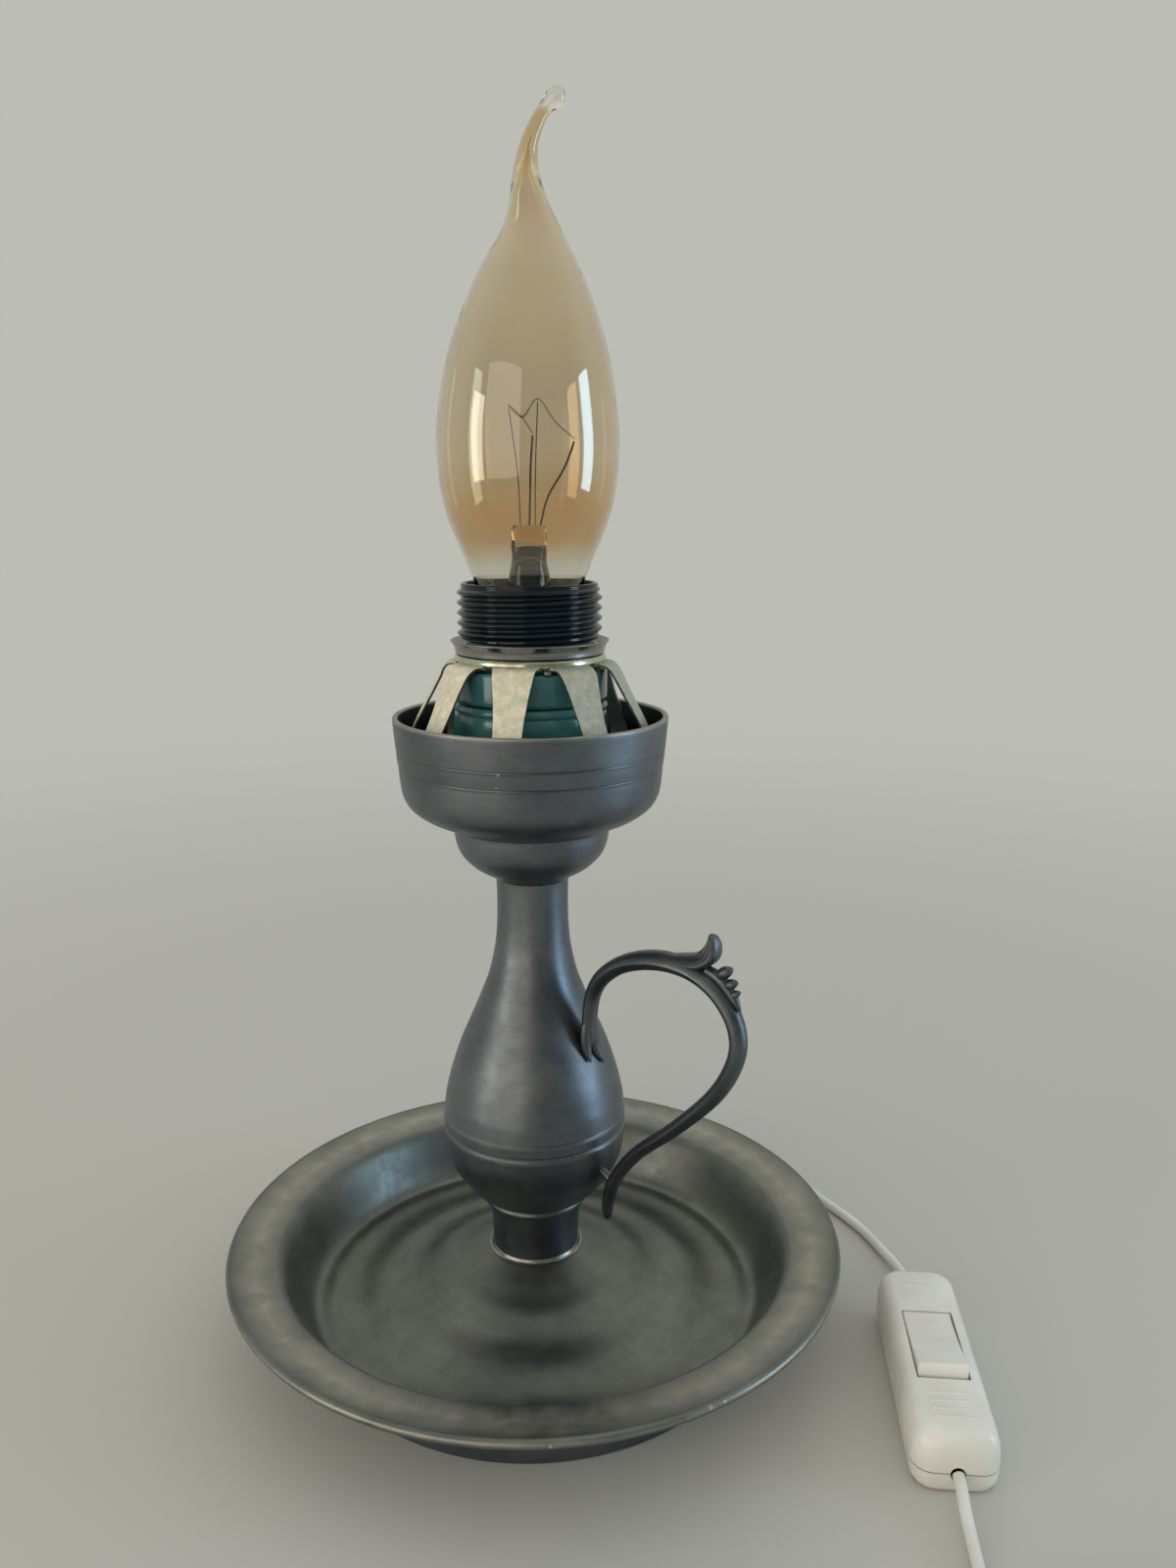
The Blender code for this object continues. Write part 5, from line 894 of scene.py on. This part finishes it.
def makeHolder():
    h = holderSettings
    skirt = [(9.5, 115.65), (11.6, 115.9), (13.2, 116.8), (14.4, 119.2), (14.95, 122.5), (15.15, 126.0),
             (15.2, 129.0), (15.05, 131.2), (14.8, 132.4), (14.5, 132.8)]
    bead = [(14.5, 132.8), (14.85, 133.05), (15.0, 133.5), (14.9, 134.0), (14.5, 134.4), (13.8, 134.5)]
    inner = [(11.7, 134.5), (11.7, 131.6), (13.0, 129.4), (13.0, 119.4), (12.2, 118.05)]
    base = outline([(5.3, 115.65)], skirt, bead, *[[p] for p in inner], [(5.3, 118.05)])
    finishPiece("holder_skirt", spunShape(base, h["steps"]), skirtBakelite, "lamp",
                ["holder_base"])
    body = [[(11.4, 134.8)], [(14.2, 134.8), (14.6, 134.95), (14.86, 135.35), (14.9, 135.9)]]
    body += [[(14.9, 140.2), (14.85, 140.6), (14.6, 140.95), (14.2, 141.1)], [(12.2, 141.1)],
             [(12.2, 146.2), (12.5, 146.5), (13.15, 146.65)]]
    body += [[(h["root"], z)] for z in span(146.7, 156.6, 88)]
    body += [[(13.2, 156.7), (13.1, 157.05), (12.9, 157.2)], [(12.55, 157.2), (12.35, 157.1), (12.3, 156.9)],
             [(12.3, 148.2)], [(11.4, 146.7)]]
    bm = threadShape(outline(*body, perSpan=3), h, 1.0)
    holder = finishPiece("holder_threaded", bm, threadBakelite, "lamp", ["holder_shell"], 50)
    holder.data.materials.append(bodyBakelite)
    # Below tealBelow the holder takes the lighter teal, which is partly painted sheen
    for face in holder.data.polygons:
        face.material_index = int(face.center.z < h["tealBelow"] * mm)


def makeRings():
    steps = holderSettings["steps"]
    flare = outline([(12.5, 143.95)], [(14.3, 143.9), (14.42, 144.05), (14.46, 144.4), (14.52, 144.8),
                                       (14.75, 145.4), (15.2, 146.05)],
                    [(15.28, 146.12), (15.32, 146.26), (15.22, 146.36)],
                    [(15.0, 146.28), (14.4, 145.8), (13.9, 145.4)], [(12.5, 145.3)])
    finishPiece("flare_collar", spunShape(flare, steps), flareSteel, "lamp", ["flare_ring"])
    crown = outline([(12.5, 141.8)], [(13.9, 141.8), (14.4, 142.05), (14.64, 142.5), (14.68, 142.9),
                                      (14.55, 143.35), (14.3, 143.65), (14.0, 143.75)], [(12.5, 143.75)])
    finishPiece("crown_bead", spunShape(crown, steps), beadSteel, "lamp")


clawSettings = {
    # Each claw's angle and its twist; the three behind the holder, 40 to 130 degrees, are chosen
    "claws": [(-101.2, 0), (-58.0, 0), (-15.0, 0), (40.0, 0), (84.0, 0), (130.0, 0), (173.5, 11),
              (-144.0, 0)],
    "sheet": 0.50, "shadeWithin": 60,  # claws within this many degrees of the right take the greyer copy of the plating as painted shade
    "path": [(13.0, 141.85), (14.6, 141.85), (15.9, 141.6), (16.8, 140.7), (17.5, 139.3), (20.0, 134.2),
             (22.4, 129.6), (23.8, 126.4), (24.05, 123.4), (23.95, 120.95)],
    "width": [(0.0, 11.4), (0.8, 10.6), (1.4, 9.2), (2.0, 8.4), (2.8, 8.0), (5.0, 7.4), (8.0, 6.5),
              (12.0, 5.7), (16.0, 5.3), (30.0, 5.1)],
}


def widthAt(distance):
    rows = clawSettings["width"]
    for (a, first), (b, second) in zip(rows, rows[1:]):
        if distance <= b:
            return first + (second - first) * (distance - a) / (b - a)
    return rows[-1][1]


def makeClaws():
    c = clawSettings
    line = smoothPath([(r, 0, z) for r, z in c["path"]], 5)
    runs = [0.0]
    for a, b in zip(line, line[1:]):
        runs.append(runs[-1] + (b - a).length)
    across = 10
    bm = bmesh.new()
    for k, (angle, twist) in enumerate(c["claws"]):
        turn = math.radians(twist)
        sheet = bmesh.new()
        bmesh.ops.create_grid(sheet, x_segments=across, y_segments=len(line) - 1, size=1.0)
        rows = sorted({round(v.co.y, 5) for v in sheet.verts})
        bow = 1.0 if k % 2 else -1.0
        for v in sheet.verts:
            index = rows.index(round(v.co.y, 5))
            p = line[index]
            half = widthAt(runs[index]) / 2
            spread = ease((runs[index] - 2.0) / 4.0)
            aside = v.co.x * half
            curved = radial(math.degrees(aside / p.x), p.x, p.z)
            straight = Vector((p.x - math.sin(turn) * aside, math.cos(turn) * aside, p.z))
            v.co = curved.lerp(straight, (1.0 if twist else 0.75) * spread)
            v.co.x += 0.10 * bow * math.sin(runs[index] * 0.33) * spread
        bmesh.ops.recalc_face_normals(sheet, faces=sheet.faces)
        bmesh.ops.solidify(sheet, geom=sheet.faces[:], thickness=c["sheet"])
        softenEdges(sheet, 0.10, 50, 2)
        sheet.normal_update()
        # Sheared edges take their own steel, and the claws facing right take the greyer copy as painted
        # shade
        for face in sheet.faces:
            face.material_index = 1 if abs(face.normal.y) > 0.8 else 2 * int(abs(angle) < c["shadeWithin"])
        sheet.transform(turnBy(angle))
        joinShapes(bm, sheet)
    claws = finishPiece("spring_claws", bm, clawZinc, "lamp", ["claw_ring"], 40, 0.0001)
    claws.data.materials.append(shearedEdge)
    claws.data.materials.append(shadedZinc)
    blob = bmesh.new()
    bmesh.ops.create_uvsphere(blob, u_segments=20, v_segments=14, radius=0.72)
    for v in blob.verts:
        v.co *= 1 + 0.22 * noise.noise(v.co * 1.4 + Vector((2, 5, 1)))
    blob.transform(Matrix.Translation(radial(-77.5, 14.6, 141.35)) @ Matrix.Diagonal((1.1, 0.9, 0.9, 1)))
    finishPiece("crown_solder", blob, leadSolder, "lamp")


makeHolder()
makeRings()
makeClaws()


print("bulb")
bulbSettings = {"wall": 0.55, "sides": 64, "bottom": 145.0, "hollowTop": 236.0}
glassRows = [
    (8.0, 145.0, 0), (8.0, 150.5, 0), (8.6, 153.0, 0), (9.6, 155.6, 0), (10.8, 158.0, 0), (12.1, 161.3, 0),
    (13.5, 164.6, 0), (15.2, 168.9, 0), (16.5, 174.2, 0), (17.05, 179.0, 0), (17.15, 182.8, 0),
    (17.0, 186.1, 0),
    (16.5, 190.3, 0.1), (15.45, 196.3, 0.25), (14.3, 200.7, 0.4), (12.95, 204.8, 0.55), (11.3, 208.8, 0.7),
    (9.5, 212.8, 0.82), (7.3, 216.8, 0.95), (5.5, 220.0, 0.9), (4.0, 223.4, 0.6), (3.0, 226.7, 0.25),
    (2.35, 229.7, 0.1), (1.95, 232.0, 0.3), (1.6, 234.4, 0.75), (1.4, 236.6, 1.55), (1.28, 238.6, 2.55),
    (1.2, 240.0, 3.45), (1.45, 240.9, 4.3), (1.75, 241.6, 5.05), (1.8, 242.1, 5.8), (1.45, 242.5, 6.5),
    (0.5, 242.75, 7.1),
]


def makeGlass():
    b = bulbSettings
    rows = smoothPath([(x, r, z) for r, z, x in glassRows], 4)
    centres = [Vector((p.x, 0, p.z)) for p in rows]
    side = Vector((0, 1, 0))
    along = tangents(centres)
    outer = [station(c, t, side, p.y, p.y) for c, t, p in zip(centres, along, rows)]
    bm = sweep(circle(b["sides"]), outer)
    innerRows = [(c, t, max((p.y - b["wall"]) * (1 - 0.92 * ease((p.z - 226) / 10)), 0.1))
                 for c, t, p in zip(centres, along, rows) if p.z < b["hollowTop"]]
    inner = [station(c, t, side, r, r) for c, t, r in innerRows]
    hollow = sweep(circle(b["sides"]), inner)
    for shape in (bm, hollow):
        floor = [f for f in shape.faces if abs(f.calc_center_median().z - b["bottom"]) < 0.01]
        bmesh.ops.delete(shape, geom=floor, context="FACES_ONLY")
    bmesh.ops.reverse_faces(hollow, faces=hollow.faces[:])
    joinShapes(bm, hollow)
    rim = [e for e in bm.edges if e.is_boundary]
    bmesh.ops.bridge_loops(bm, edges=rim)
    return finishPiece("bulb_glass_blown", bm, amberGlass, "bulb", ["bulb_glass"], 60)


def makeMount():
    # A hollow flare that is pinched shut over the wires
    profile = outline([(7.0, 145.6)], [(7.1, 146.4), (6.2, 148.6), (4.9, 151.5), (4.2, 155.0), (3.9, 158.5),
                      (3.3, 161.5), (3.1, 164.5), (3.0, 167.2)], [(2.7, 167.9), (0, 168.0)], [(0, 161.6)],
                      [(1.0, 161.4), (2.3, 160.2), (3.1, 158.0), (3.5, 155.0), (4.2, 151.5), (5.5, 148.6),
                       (6.3, 146.4)], [(6.3, 145.6)], perSpan=6)
    bm = spunShape(profile, 48, False)
    for v in bm.verts:
        squeeze = ease((v.co.z - 160.5) / 5.0)
        v.co.y *= 1 - 0.48 * squeeze
        v.co.x *= 1 + 0.10 * squeeze
        v.co.x += 0.12 * squeeze * math.sin(v.co.z * 2.1)
    finishPiece("glass_mount", bm, clearGlass, "bulb", ["glass_stem"], 40)
    start = 168.0
    wires = {
        "lead_wire_left": [(0.1, 0, start), (0.3, 0, 174.0), (0.45, 0.1, 179.0), (0.85, 0, 184.3)],
        "lead_wire_right": [(2.2, 0, start), (3.6, 0, 173.0), (6.8, 0, 178.5), (8.0, 0, 181.4),
                            (8.6, 0, 183.2)],
        "hook_wire_left": [(-1.6, 0.2, start), (-2.0, 2.0, 177.0), (-3.6, 4.2, 189.4)],
        "hook_wire_right": [(1.2, -0.3, start), (1.3, -2.2, 177.0), (1.8, -4.2, 189.9)],
    }
    for name, points in wires.items():
        thin = 0.20 if name.startswith("lead") else 0.11
        wire(name + "_drawn", points, thin, mountWire, "bulb", [name], 2, 6)
    for side in (-1, 1):
        route = [(1.9 * side, 0, 146.5), (1.3 * side, 0, 153.0), (0.8 * side, 0, 160.2)]
        name = "inner_wire_right" if side > 0 else "inner_wire_left"
        wire(name, route, 0.22, mountWire, "bulb", [])


filamentSettings = {"pitch": 0.34, "perTurn": 7, "coil": 0.13, "wire": 0.05}


def makeFilament():
    # A finely wound coil hung from the lead wires over two hooks
    route = smoothPath([(0.85, 0.0, 184.75), (-1.2, 2.3, 187.8), (-3.6, 4.2, 190.0), (-1.0, 0.4, 187.6),
                        (1.8, -4.2, 190.5), (5.0, -2.2, 186.6), (8.6, 0.0, 183.7)], 24)
    f = filamentSettings
    turns = lineLength(route) / f["pitch"]
    line = evenly(route, round(turns * f["perTurn"]))
    points = []
    for k, (p, t) in enumerate(zip(line, tangents(line))):
        first = t.cross(up).normalized()
        second = t.cross(first)
        a = 2 * math.pi * k / f["perTurn"]
        points.append(p + (first * math.cos(a) + second * math.sin(a)) * f["coil"])
    wire("filament_coil", points, f["wire"], tungstenWire, "bulb", ["filament"], 1, 1)


capSettings = {
    "root": 6.70, "crest": 6.92, "pitch": 2.82, "threadLow": 127.2, "threadHigh": 141.4, "steps": 72,
}


def makeCap():
    profile = [[(5.4, 126.1)], [(6.3, 125.7), (6.7, 126.2), (6.72, 126.6)]]
    profile += [[(6.72, z)] for z in span(126.8, 141.6, 70)]
    profile += [[(6.9, 142.4), (7.8, 143.5), (8.6, 144.2)], [(8.72, 144.5), (8.75, 149.6)], [(8.6, 149.8)],
                [(8.32, 149.8)], [(8.3, 144.5)], [(6.35, 141.6)], [(6.2, 127.0)], [(5.4, 126.4)]]
    bm = threadShape(outline(*profile, perSpan=3), capSettings)
    finishPiece("bulb_cap_rolled", bm, nickelPlate, "bulb_cap", ["bulb_cap"], 50)


makeGlass()
makeMount()
makeFilament()
makeCap()


print("switch")
switchSettings = {
    "length": 52.0, "width": 16.0, "height": 11.6, "split": 4.2, "wall": 1.6, "rockerLength": 19.2,
    "rockerWidth": 9.4, "tilt": 7.0,
}
switchTurn = Matrix.Translation((*leadSettings["switchPlace"], 0)) @ turnBy(leadSettings["switchAngle"])


def roundedRect(length, width, corner, perCorner=6):
    points = []
    for quarter in range(4):
        cx = (length / 2 - corner) * (1, -1, -1, 1)[quarter]
        cy = (width / 2 - corner) * (1, 1, -1, -1)[quarter]
        for k in range(perCorner + 1):
            a = math.pi / 2 * (quarter + k / perCorner)
            points.append((cx + corner * math.cos(a), cy + corner * math.sin(a)))
    return points


def bridgedRings(rings, caps=()):
    # Bridges closed rings of points one after another, and fills the rings that caps names
    bm = bmesh.new()
    loops = []
    for ring in rings:
        verts = [bm.verts.new(p) for p in ring]
        loops.append([bm.edges.new(pair) for pair in zip(verts, verts[1:] + verts[:1])])
    for first, second in zip(loops, loops[1:]):
        bmesh.ops.bridge_loops(bm, edges=first + second)
    for index in caps:
        bmesh.ops.edgeloop_fill(bm, edges=loops[index])
    return bm


def shellRings(length, width, rows, caps):
    # Rounded rectangles that climb the outside and come down the inside. A row is how much smaller
    # than the full size it is, its corner's radius and its height.
    return bridgedRings([[(x, y, z) for x, y in roundedRect(length - less, width - less, corner)]
                         for less, corner, z in rows], caps)


def boxShape(low, high):
    bm = bmesh.new()
    bmesh.ops.create_cube(bm, size=1.0)
    size = [b - a for a, b in zip(low, high)]
    middle = [(a + b) / 2 for a, b in zip(low, high)]
    bm.transform(Matrix.Translation(middle) @ Matrix.Diagonal((*size, 1.0)))
    return bm


def rodShape(radius, start, end, sides=24):
    bm = bmesh.new()
    bmesh.ops.create_cone(bm, cap_ends=True, segments=sides, radius1=radius, radius2=radius,
                          depth=(end - start).length)
    turn = up.rotation_difference(end - start).to_matrix().to_4x4()
    bm.transform(Matrix.Translation((start + end) / 2) @ turn)
    return bm


def makeSwitch():
    s = switchSettings
    length, width = s["length"], s["width"]
    baseTop = s["split"] - 0.15
    coverLow = s["split"] + 0.15
    ceiling = s["height"] - s["wall"]
    bottom = shellRings(length, width, [
        (4.0, 2.6, 0.0), (1.6, 3.6, 0.35), (0.3, 4.0, 1.5), (0, 4.0, 2.8), (0, 4.0, baseTop),
        (3.2, 3.0, baseTop), (3.4, 3.0, 2.2), (4.6, 2.6, 1.6)], (0, -1))
    top = shellRings(length, width, [
        (3.2, 3.0, coverLow), (0, 4.0, coverLow), (0, 4.0, 6.2), (0.35, 4.0, 8.2), (1.4, 3.8, 10.1),
        (3.2, 3.4, 11.2), (5.6, 2.6, s["height"])], (-1,))
    under = shellRings(length, width, [(3.2, 3.0, coverLow), (3.6, 3.0, 8.6), (6.4, 2.0, ceiling)], (-1,))
    joinShapes(top, under)
    bmesh.ops.remove_doubles(top, verts=top.verts, dist=0.001)
    window = boxShape((-s["rockerLength"] / 2 - 0.7, -s["rockerWidth"] / 2 - 0.3, ceiling - 2),
                      (s["rockerLength"] / 2 + 0.7, s["rockerWidth"] / 2 + 0.3, s["height"] + 2))
    top = cutAway(top, window)
    for side in (-1, 1):
        ends = [Vector((side * reach, 0, s["split"])) for reach in (length / 2 - 5, length / 2 + 2)]
        top = cutAway(top, rodShape(1.4, *ends))
        bottom = cutAway(bottom, rodShape(1.4, *ends), "MANIFOLD")
    for x in (-0.36 * length, 0.36 * length):
        for radius, low, high in ((2.5, -1, 1.0), (1.5, 0.5, 2.6)):
            hole = rodShape(radius, Vector((x, 0, low)), Vector((x, 0, high)))
            bottom = cutAway(bottom, hole, "MANIFOLD")
    # Grip ribs across both ends of the cover
    for side in (-1, 1):
        for k in range(4):
            ends = [Vector((side * (14.2 + 2.1 * k), y, s["height"] - 0.22)) for y in (-3.6, 3.6)]
            joinShapes(top, rodShape(0.42, *ends, 12))
    for name, shell, node in (("switch_lower_shell", bottom, "switch_base"),
                              ("switch_upper_shell", top, "switch_cover")):
        shell.transform(switchTurn)
        finishPiece(name, shell, whiteShell, "lamp", [node], 35)

    half = s["rockerLength"] / 2
    side = [(-half, 0.5), (-0.55 * half, -2.0), (0.55 * half, -2.0), (half, 0.5), (half, 4.2)]
    side += [(x, 3.4 + 0.8 * (x / half) ** 2) for x in reversed(span(-half + 0.8, half - 0.8, 14))]
    side += [(-half, 4.2)]
    bm = bmesh.new()
    face = bm.faces.new([bm.verts.new((x, -s["rockerWidth"] / 2, z)) for x, z in side])
    made = bmesh.ops.extrude_face_region(bm, geom=[face])["geom"]
    bmesh.ops.translate(bm, verts=[v for v in made if isinstance(v, bmesh.types.BMVert)],
                        vec=(0, s["rockerWidth"], 0))
    softenEdges(bm, 0.35, 30, 3)
    bm = cutAway(bm, rodShape(1.2, Vector((0, -6, 0)), Vector((0, 6, 0))))
    bm.transform(switchTurn @ Matrix.Translation((0, 0, s["height"] - 3.1)) @ turnBy(-s["tilt"], "Y"))
    finishPiece("switch_rocker_moulded", bm, whiteShell, "rocker", ["switch_rocker"], 30)


makeSwitch()


print("plug")
plugSettings = {
    "length": 36.0, "width": 35.3, "thick": 13.7, "relief": 22.0, "pinLength": 19.0, "spacing": 18.6,
}
plugTurn = Matrix.Translation((*leadSettings["plugPlace"], 0)) @ turnBy(180)


def makePlug():
    p = plugSettings
    middle = p["thick"] / 2
    full = p["width"] / 2
    rows = [(0.0, 0.26, 0.56), (0.03, 0.30, 0.70), (0.12, 0.37, 0.82), (0.26, 0.49, 0.90),
            (0.38, 0.66, 0.95), (0.50, 0.86, 0.985), (0.60, 0.965, 1.0), (0.75, 1.0, 1.0),
            (0.92, 1.0, 1.0), (0.985, 0.985, 0.975), (1.0, 0.955, 0.92)]
    rings = []
    for row in smoothPath(rows, 3):
        x, half, high = row.x * p["length"], row.y * full, row.z * middle
        corner = min(4.6, 0.85 * high, 0.85 * half)
        rings.append([(x, a, middle + b) for a, b in roundedRect(2 * half, 2 * high, corner, 7)])
    bm = bridgedRings(rings, (0, -1))
    for side in (-1, 1):
        bm.normal_update()
        for k in range(5):
            x = 9.0 + 1.7 * k
            share = x / p["length"]
            half = full * (0.40 + 0.62 * (share - 0.15) * 1.35)
            ends = [Vector((x, side * (half - 0.1), z)) for z in (middle - 3.4, middle + 3.4)]
            joinShapes(bm, rodShape(0.4, *ends, 10))
    bm.transform(plugTurn)
    finishPiece("plug_moulded", bm, whiteShell, "lamp", ["plug_body"], 35)

    cone = makeRelief(p["relief"] - 3.2, 3.1, 2.6, 3.3, 0.0, 1.2, 1.4)
    cone.transform(plugTurn @ Matrix.Translation((-0.3, 0, middle)) @ turnBy(-90, "Y"))
    finishPiece("plug_gland", cone, whiteFlex, "lamp", ["plug_relief"])
    end = p["pinLength"]
    half = 0.5 * end
    for name, side in (("plug_pin_left", -1), ("plug_pin_right", 1)):
        foot = Matrix.Translation((p["length"], side * p["spacing"] / 2, middle))
        sleeve = outline([(0, 0.3)], [(1.85, 0.3), (1.85, half - 0.5)],
                         [(1.85, half - 0.4), (1.7, half - 0.05), (0, half)])
        tip = outline([(0, half + 0.02)], [(1.8, half + 0.02), (2.0, half + 0.3)],
                      [(2.0, end - 1.8), (1.9, end - 0.8), (1.4, end - 0.05)], [(1.4, end), (0, end)])
        for ending, points, look, slot, replaced in (
                ("_sleeve", sleeve, whiteShell, "white_plastic", None),
                ("_turned", tip, nickelPlate, "plated_steel", [name])):
            bm = spunShape(points, 32, False)
            bm.transform(plugTurn @ foot @ turnBy(90, "Y"))
            finishPiece(name + ending, bm, look, "lamp", replaced)


def makeTie():
    centre = Vector((*leadSettings["coilCentre"], 0))
    reach = leadSettings["coilStep"] * leadSettings["coilTurns"] / leadSettings["coilLayers"]
    outer = leadSettings["coilMiddle"] + reach / 2 + leadThick / 2 + leadGap
    inner = leadSettings["coilMiddle"] - reach / 2 - leadThick / 2 - leadGap
    top = leadSettings["coilFloor"] + 3 * leadSettings["coilStep"] + leadThick / 2 + leadGap
    sheet = 0.42
    low = 0.3
    width, height = outer - inner, top - low
    outside = roundedRect(width + 2 * sheet, height + sheet, 1.6, 6)
    hollow = roundedRect(width, height - sheet, 1.2, 6)
    half = 1.45  # half the band's width
    rings = [[(x + (inner + outer) / 2, y, z + (top + low) / 2) for x, z in ring] for ring, y in (
        (outside, -half), (outside, half), (hollow, half), (hollow, -half), (outside, -half))]
    bm = bridgedRings(rings)
    bmesh.ops.remove_doubles(bm, verts=bm.verts, dist=0.0005)
    bm.transform(Matrix.Translation(centre) @ turnBy(-50))
    finishPiece("coil_tie_band", bm, tieFilm, "lamp", ["coil_tie"], 35)


makePlug()
makeTie()


print("light")
studio = {
    "wall": linear("#bcbdb4"), "floor": linear("#c2c0b6"), "ambient": linear("#d9dcdc"),
    "ambientStrength": 0.95, "fadeStart": 0.20, "fadeEnd": 0.75, "dimSide": 0.34, "ceiling": 0.55,
}
lamps = {
    "leftWindow": {"angle": -66, "reach": 1400, "height": 280, "size": (400, 800), "power": 3.6,
                   "colour": "#fff6e8", "throughGlass": True},
    "roomGlow": {"angle": -32, "reach": 1600, "height": 400, "size": (1300, 1200), "power": 7.0,
                 "colour": "#ffeedd", "throughGlass": False},
    "rightWindow": {"angle": 80, "reach": 1400, "height": 240, "size": (380, 900), "power": 6.3,
                    "colour": "#bfe2ff", "throughGlass": True},
}
for name, s in lamps.items():
    light = bpy.data.lights.new(name, "AREA")
    light.shape = "RECTANGLE"
    light.size, light.size_y = s["size"][0] * mm, s["size"][1] * mm
    light.energy = s["power"]
    light.color = linear(s["colour"])[:3]
    a = math.radians(s["angle"])
    place = Vector((math.sin(a) * s["reach"], -math.cos(a) * s["reach"], s["height"])) * mm
    lamp = bpy.data.objects.new(name, light)
    lamp.location = place
    lamp.visible_transmission = s["throughGlass"]
    lamp.rotation_euler = (Vector((0, 0, 0.1)) - place).to_track_quat("-Z", "Y").to_euler()
    bpy.context.scene.collection.objects.link(lamp)

world = bpy.data.worlds.new("studio")
bpy.context.scene.world = world
world.use_nodes = True
tree = world.node_tree
tree.nodes.clear()
path = addNode(tree, "LightPath")
seen = addNode(tree, "Math", {"operation": "MAXIMUM"},
               {0: path.outputs["Is Camera Ray"], 1: path.outputs["Is Glossy Ray"]})
seen = addNode(tree, "Math", {"operation": "MAXIMUM"}, {0: seen, 1: path.outputs["Is Transmission Ray"]})
ambient = addNode(tree, "Background", {"Color": studio["ambient"], "Strength": studio["ambientStrength"]})
# Metal also mirrors a dimmer room in front of the lamp and a lighter ceiling
axes = addNode(tree, "SeparateXYZ", links={0: addNode(tree, "TexCoord").outputs["Generated"]})
depth = addNode(tree, "MapRange", {"From Min": -0.6, "From Max": 0.3, "To Min": studio["dimSide"],
                                   "interpolation_type": "SMOOTHSTEP"}, {"Value": axes.outputs[1]})
rise = addNode(tree, "MapRange", {"From Min": 0.3, "From Max": 1.0, "To Max": studio["ceiling"],
                                  "interpolation_type": "SMOOTHSTEP"}, {"Value": axes.outputs[2]})
room = addNode(tree, "Math", {"operation": "ADD"}, {0: depth, 1: rise})
plain = addNode(tree, "Mix", {"data_type": "FLOAT", 2: 1.0}, {0: path.outputs["Is Glossy Ray"], 3: room})
wall = addNode(tree, "Background", {"Color": studio["wall"]}, {"Strength": plain.outputs[0]})
both = addNode(tree, "MixShader", links={0: seen, 1: ambient, 2: wall})
addNode(tree, "OutputWorld", links={0: both})

# The floor fades into the backdrop's colour, so that no horizon shows behind the glass
floorMaterial, tree, shader, place = newMaterial("paleFloor", {"Base Color": studio["floor"],
                                                               "Roughness": 0.8})
away = addNode(tree, "VectorMath", {"operation": "LENGTH"}, {0: place})
fade = addNode(tree, "MapRange", {"From Min": studio["fadeStart"], "From Max": studio["fadeEnd"],
                                  "interpolation_type": "SMOOTHSTEP"}, {"Value": away.outputs["Value"]})
clear = addNode(tree, "BsdfTransparent")
mixed = addNode(tree, "MixShader", links={0: fade, 1: shader, 2: clear})
connect(tree, tree.nodes["Material Output"], {"Surface": mixed})
floorShape = bmesh.new()
bmesh.ops.create_grid(floorShape, x_segments=1, y_segments=1, size=1.0)
floor = asObject("floor", floorShape)
floor.data.materials.append(floorMaterial)
bpy.context.scene.collection.objects.link(floor)

print("done")
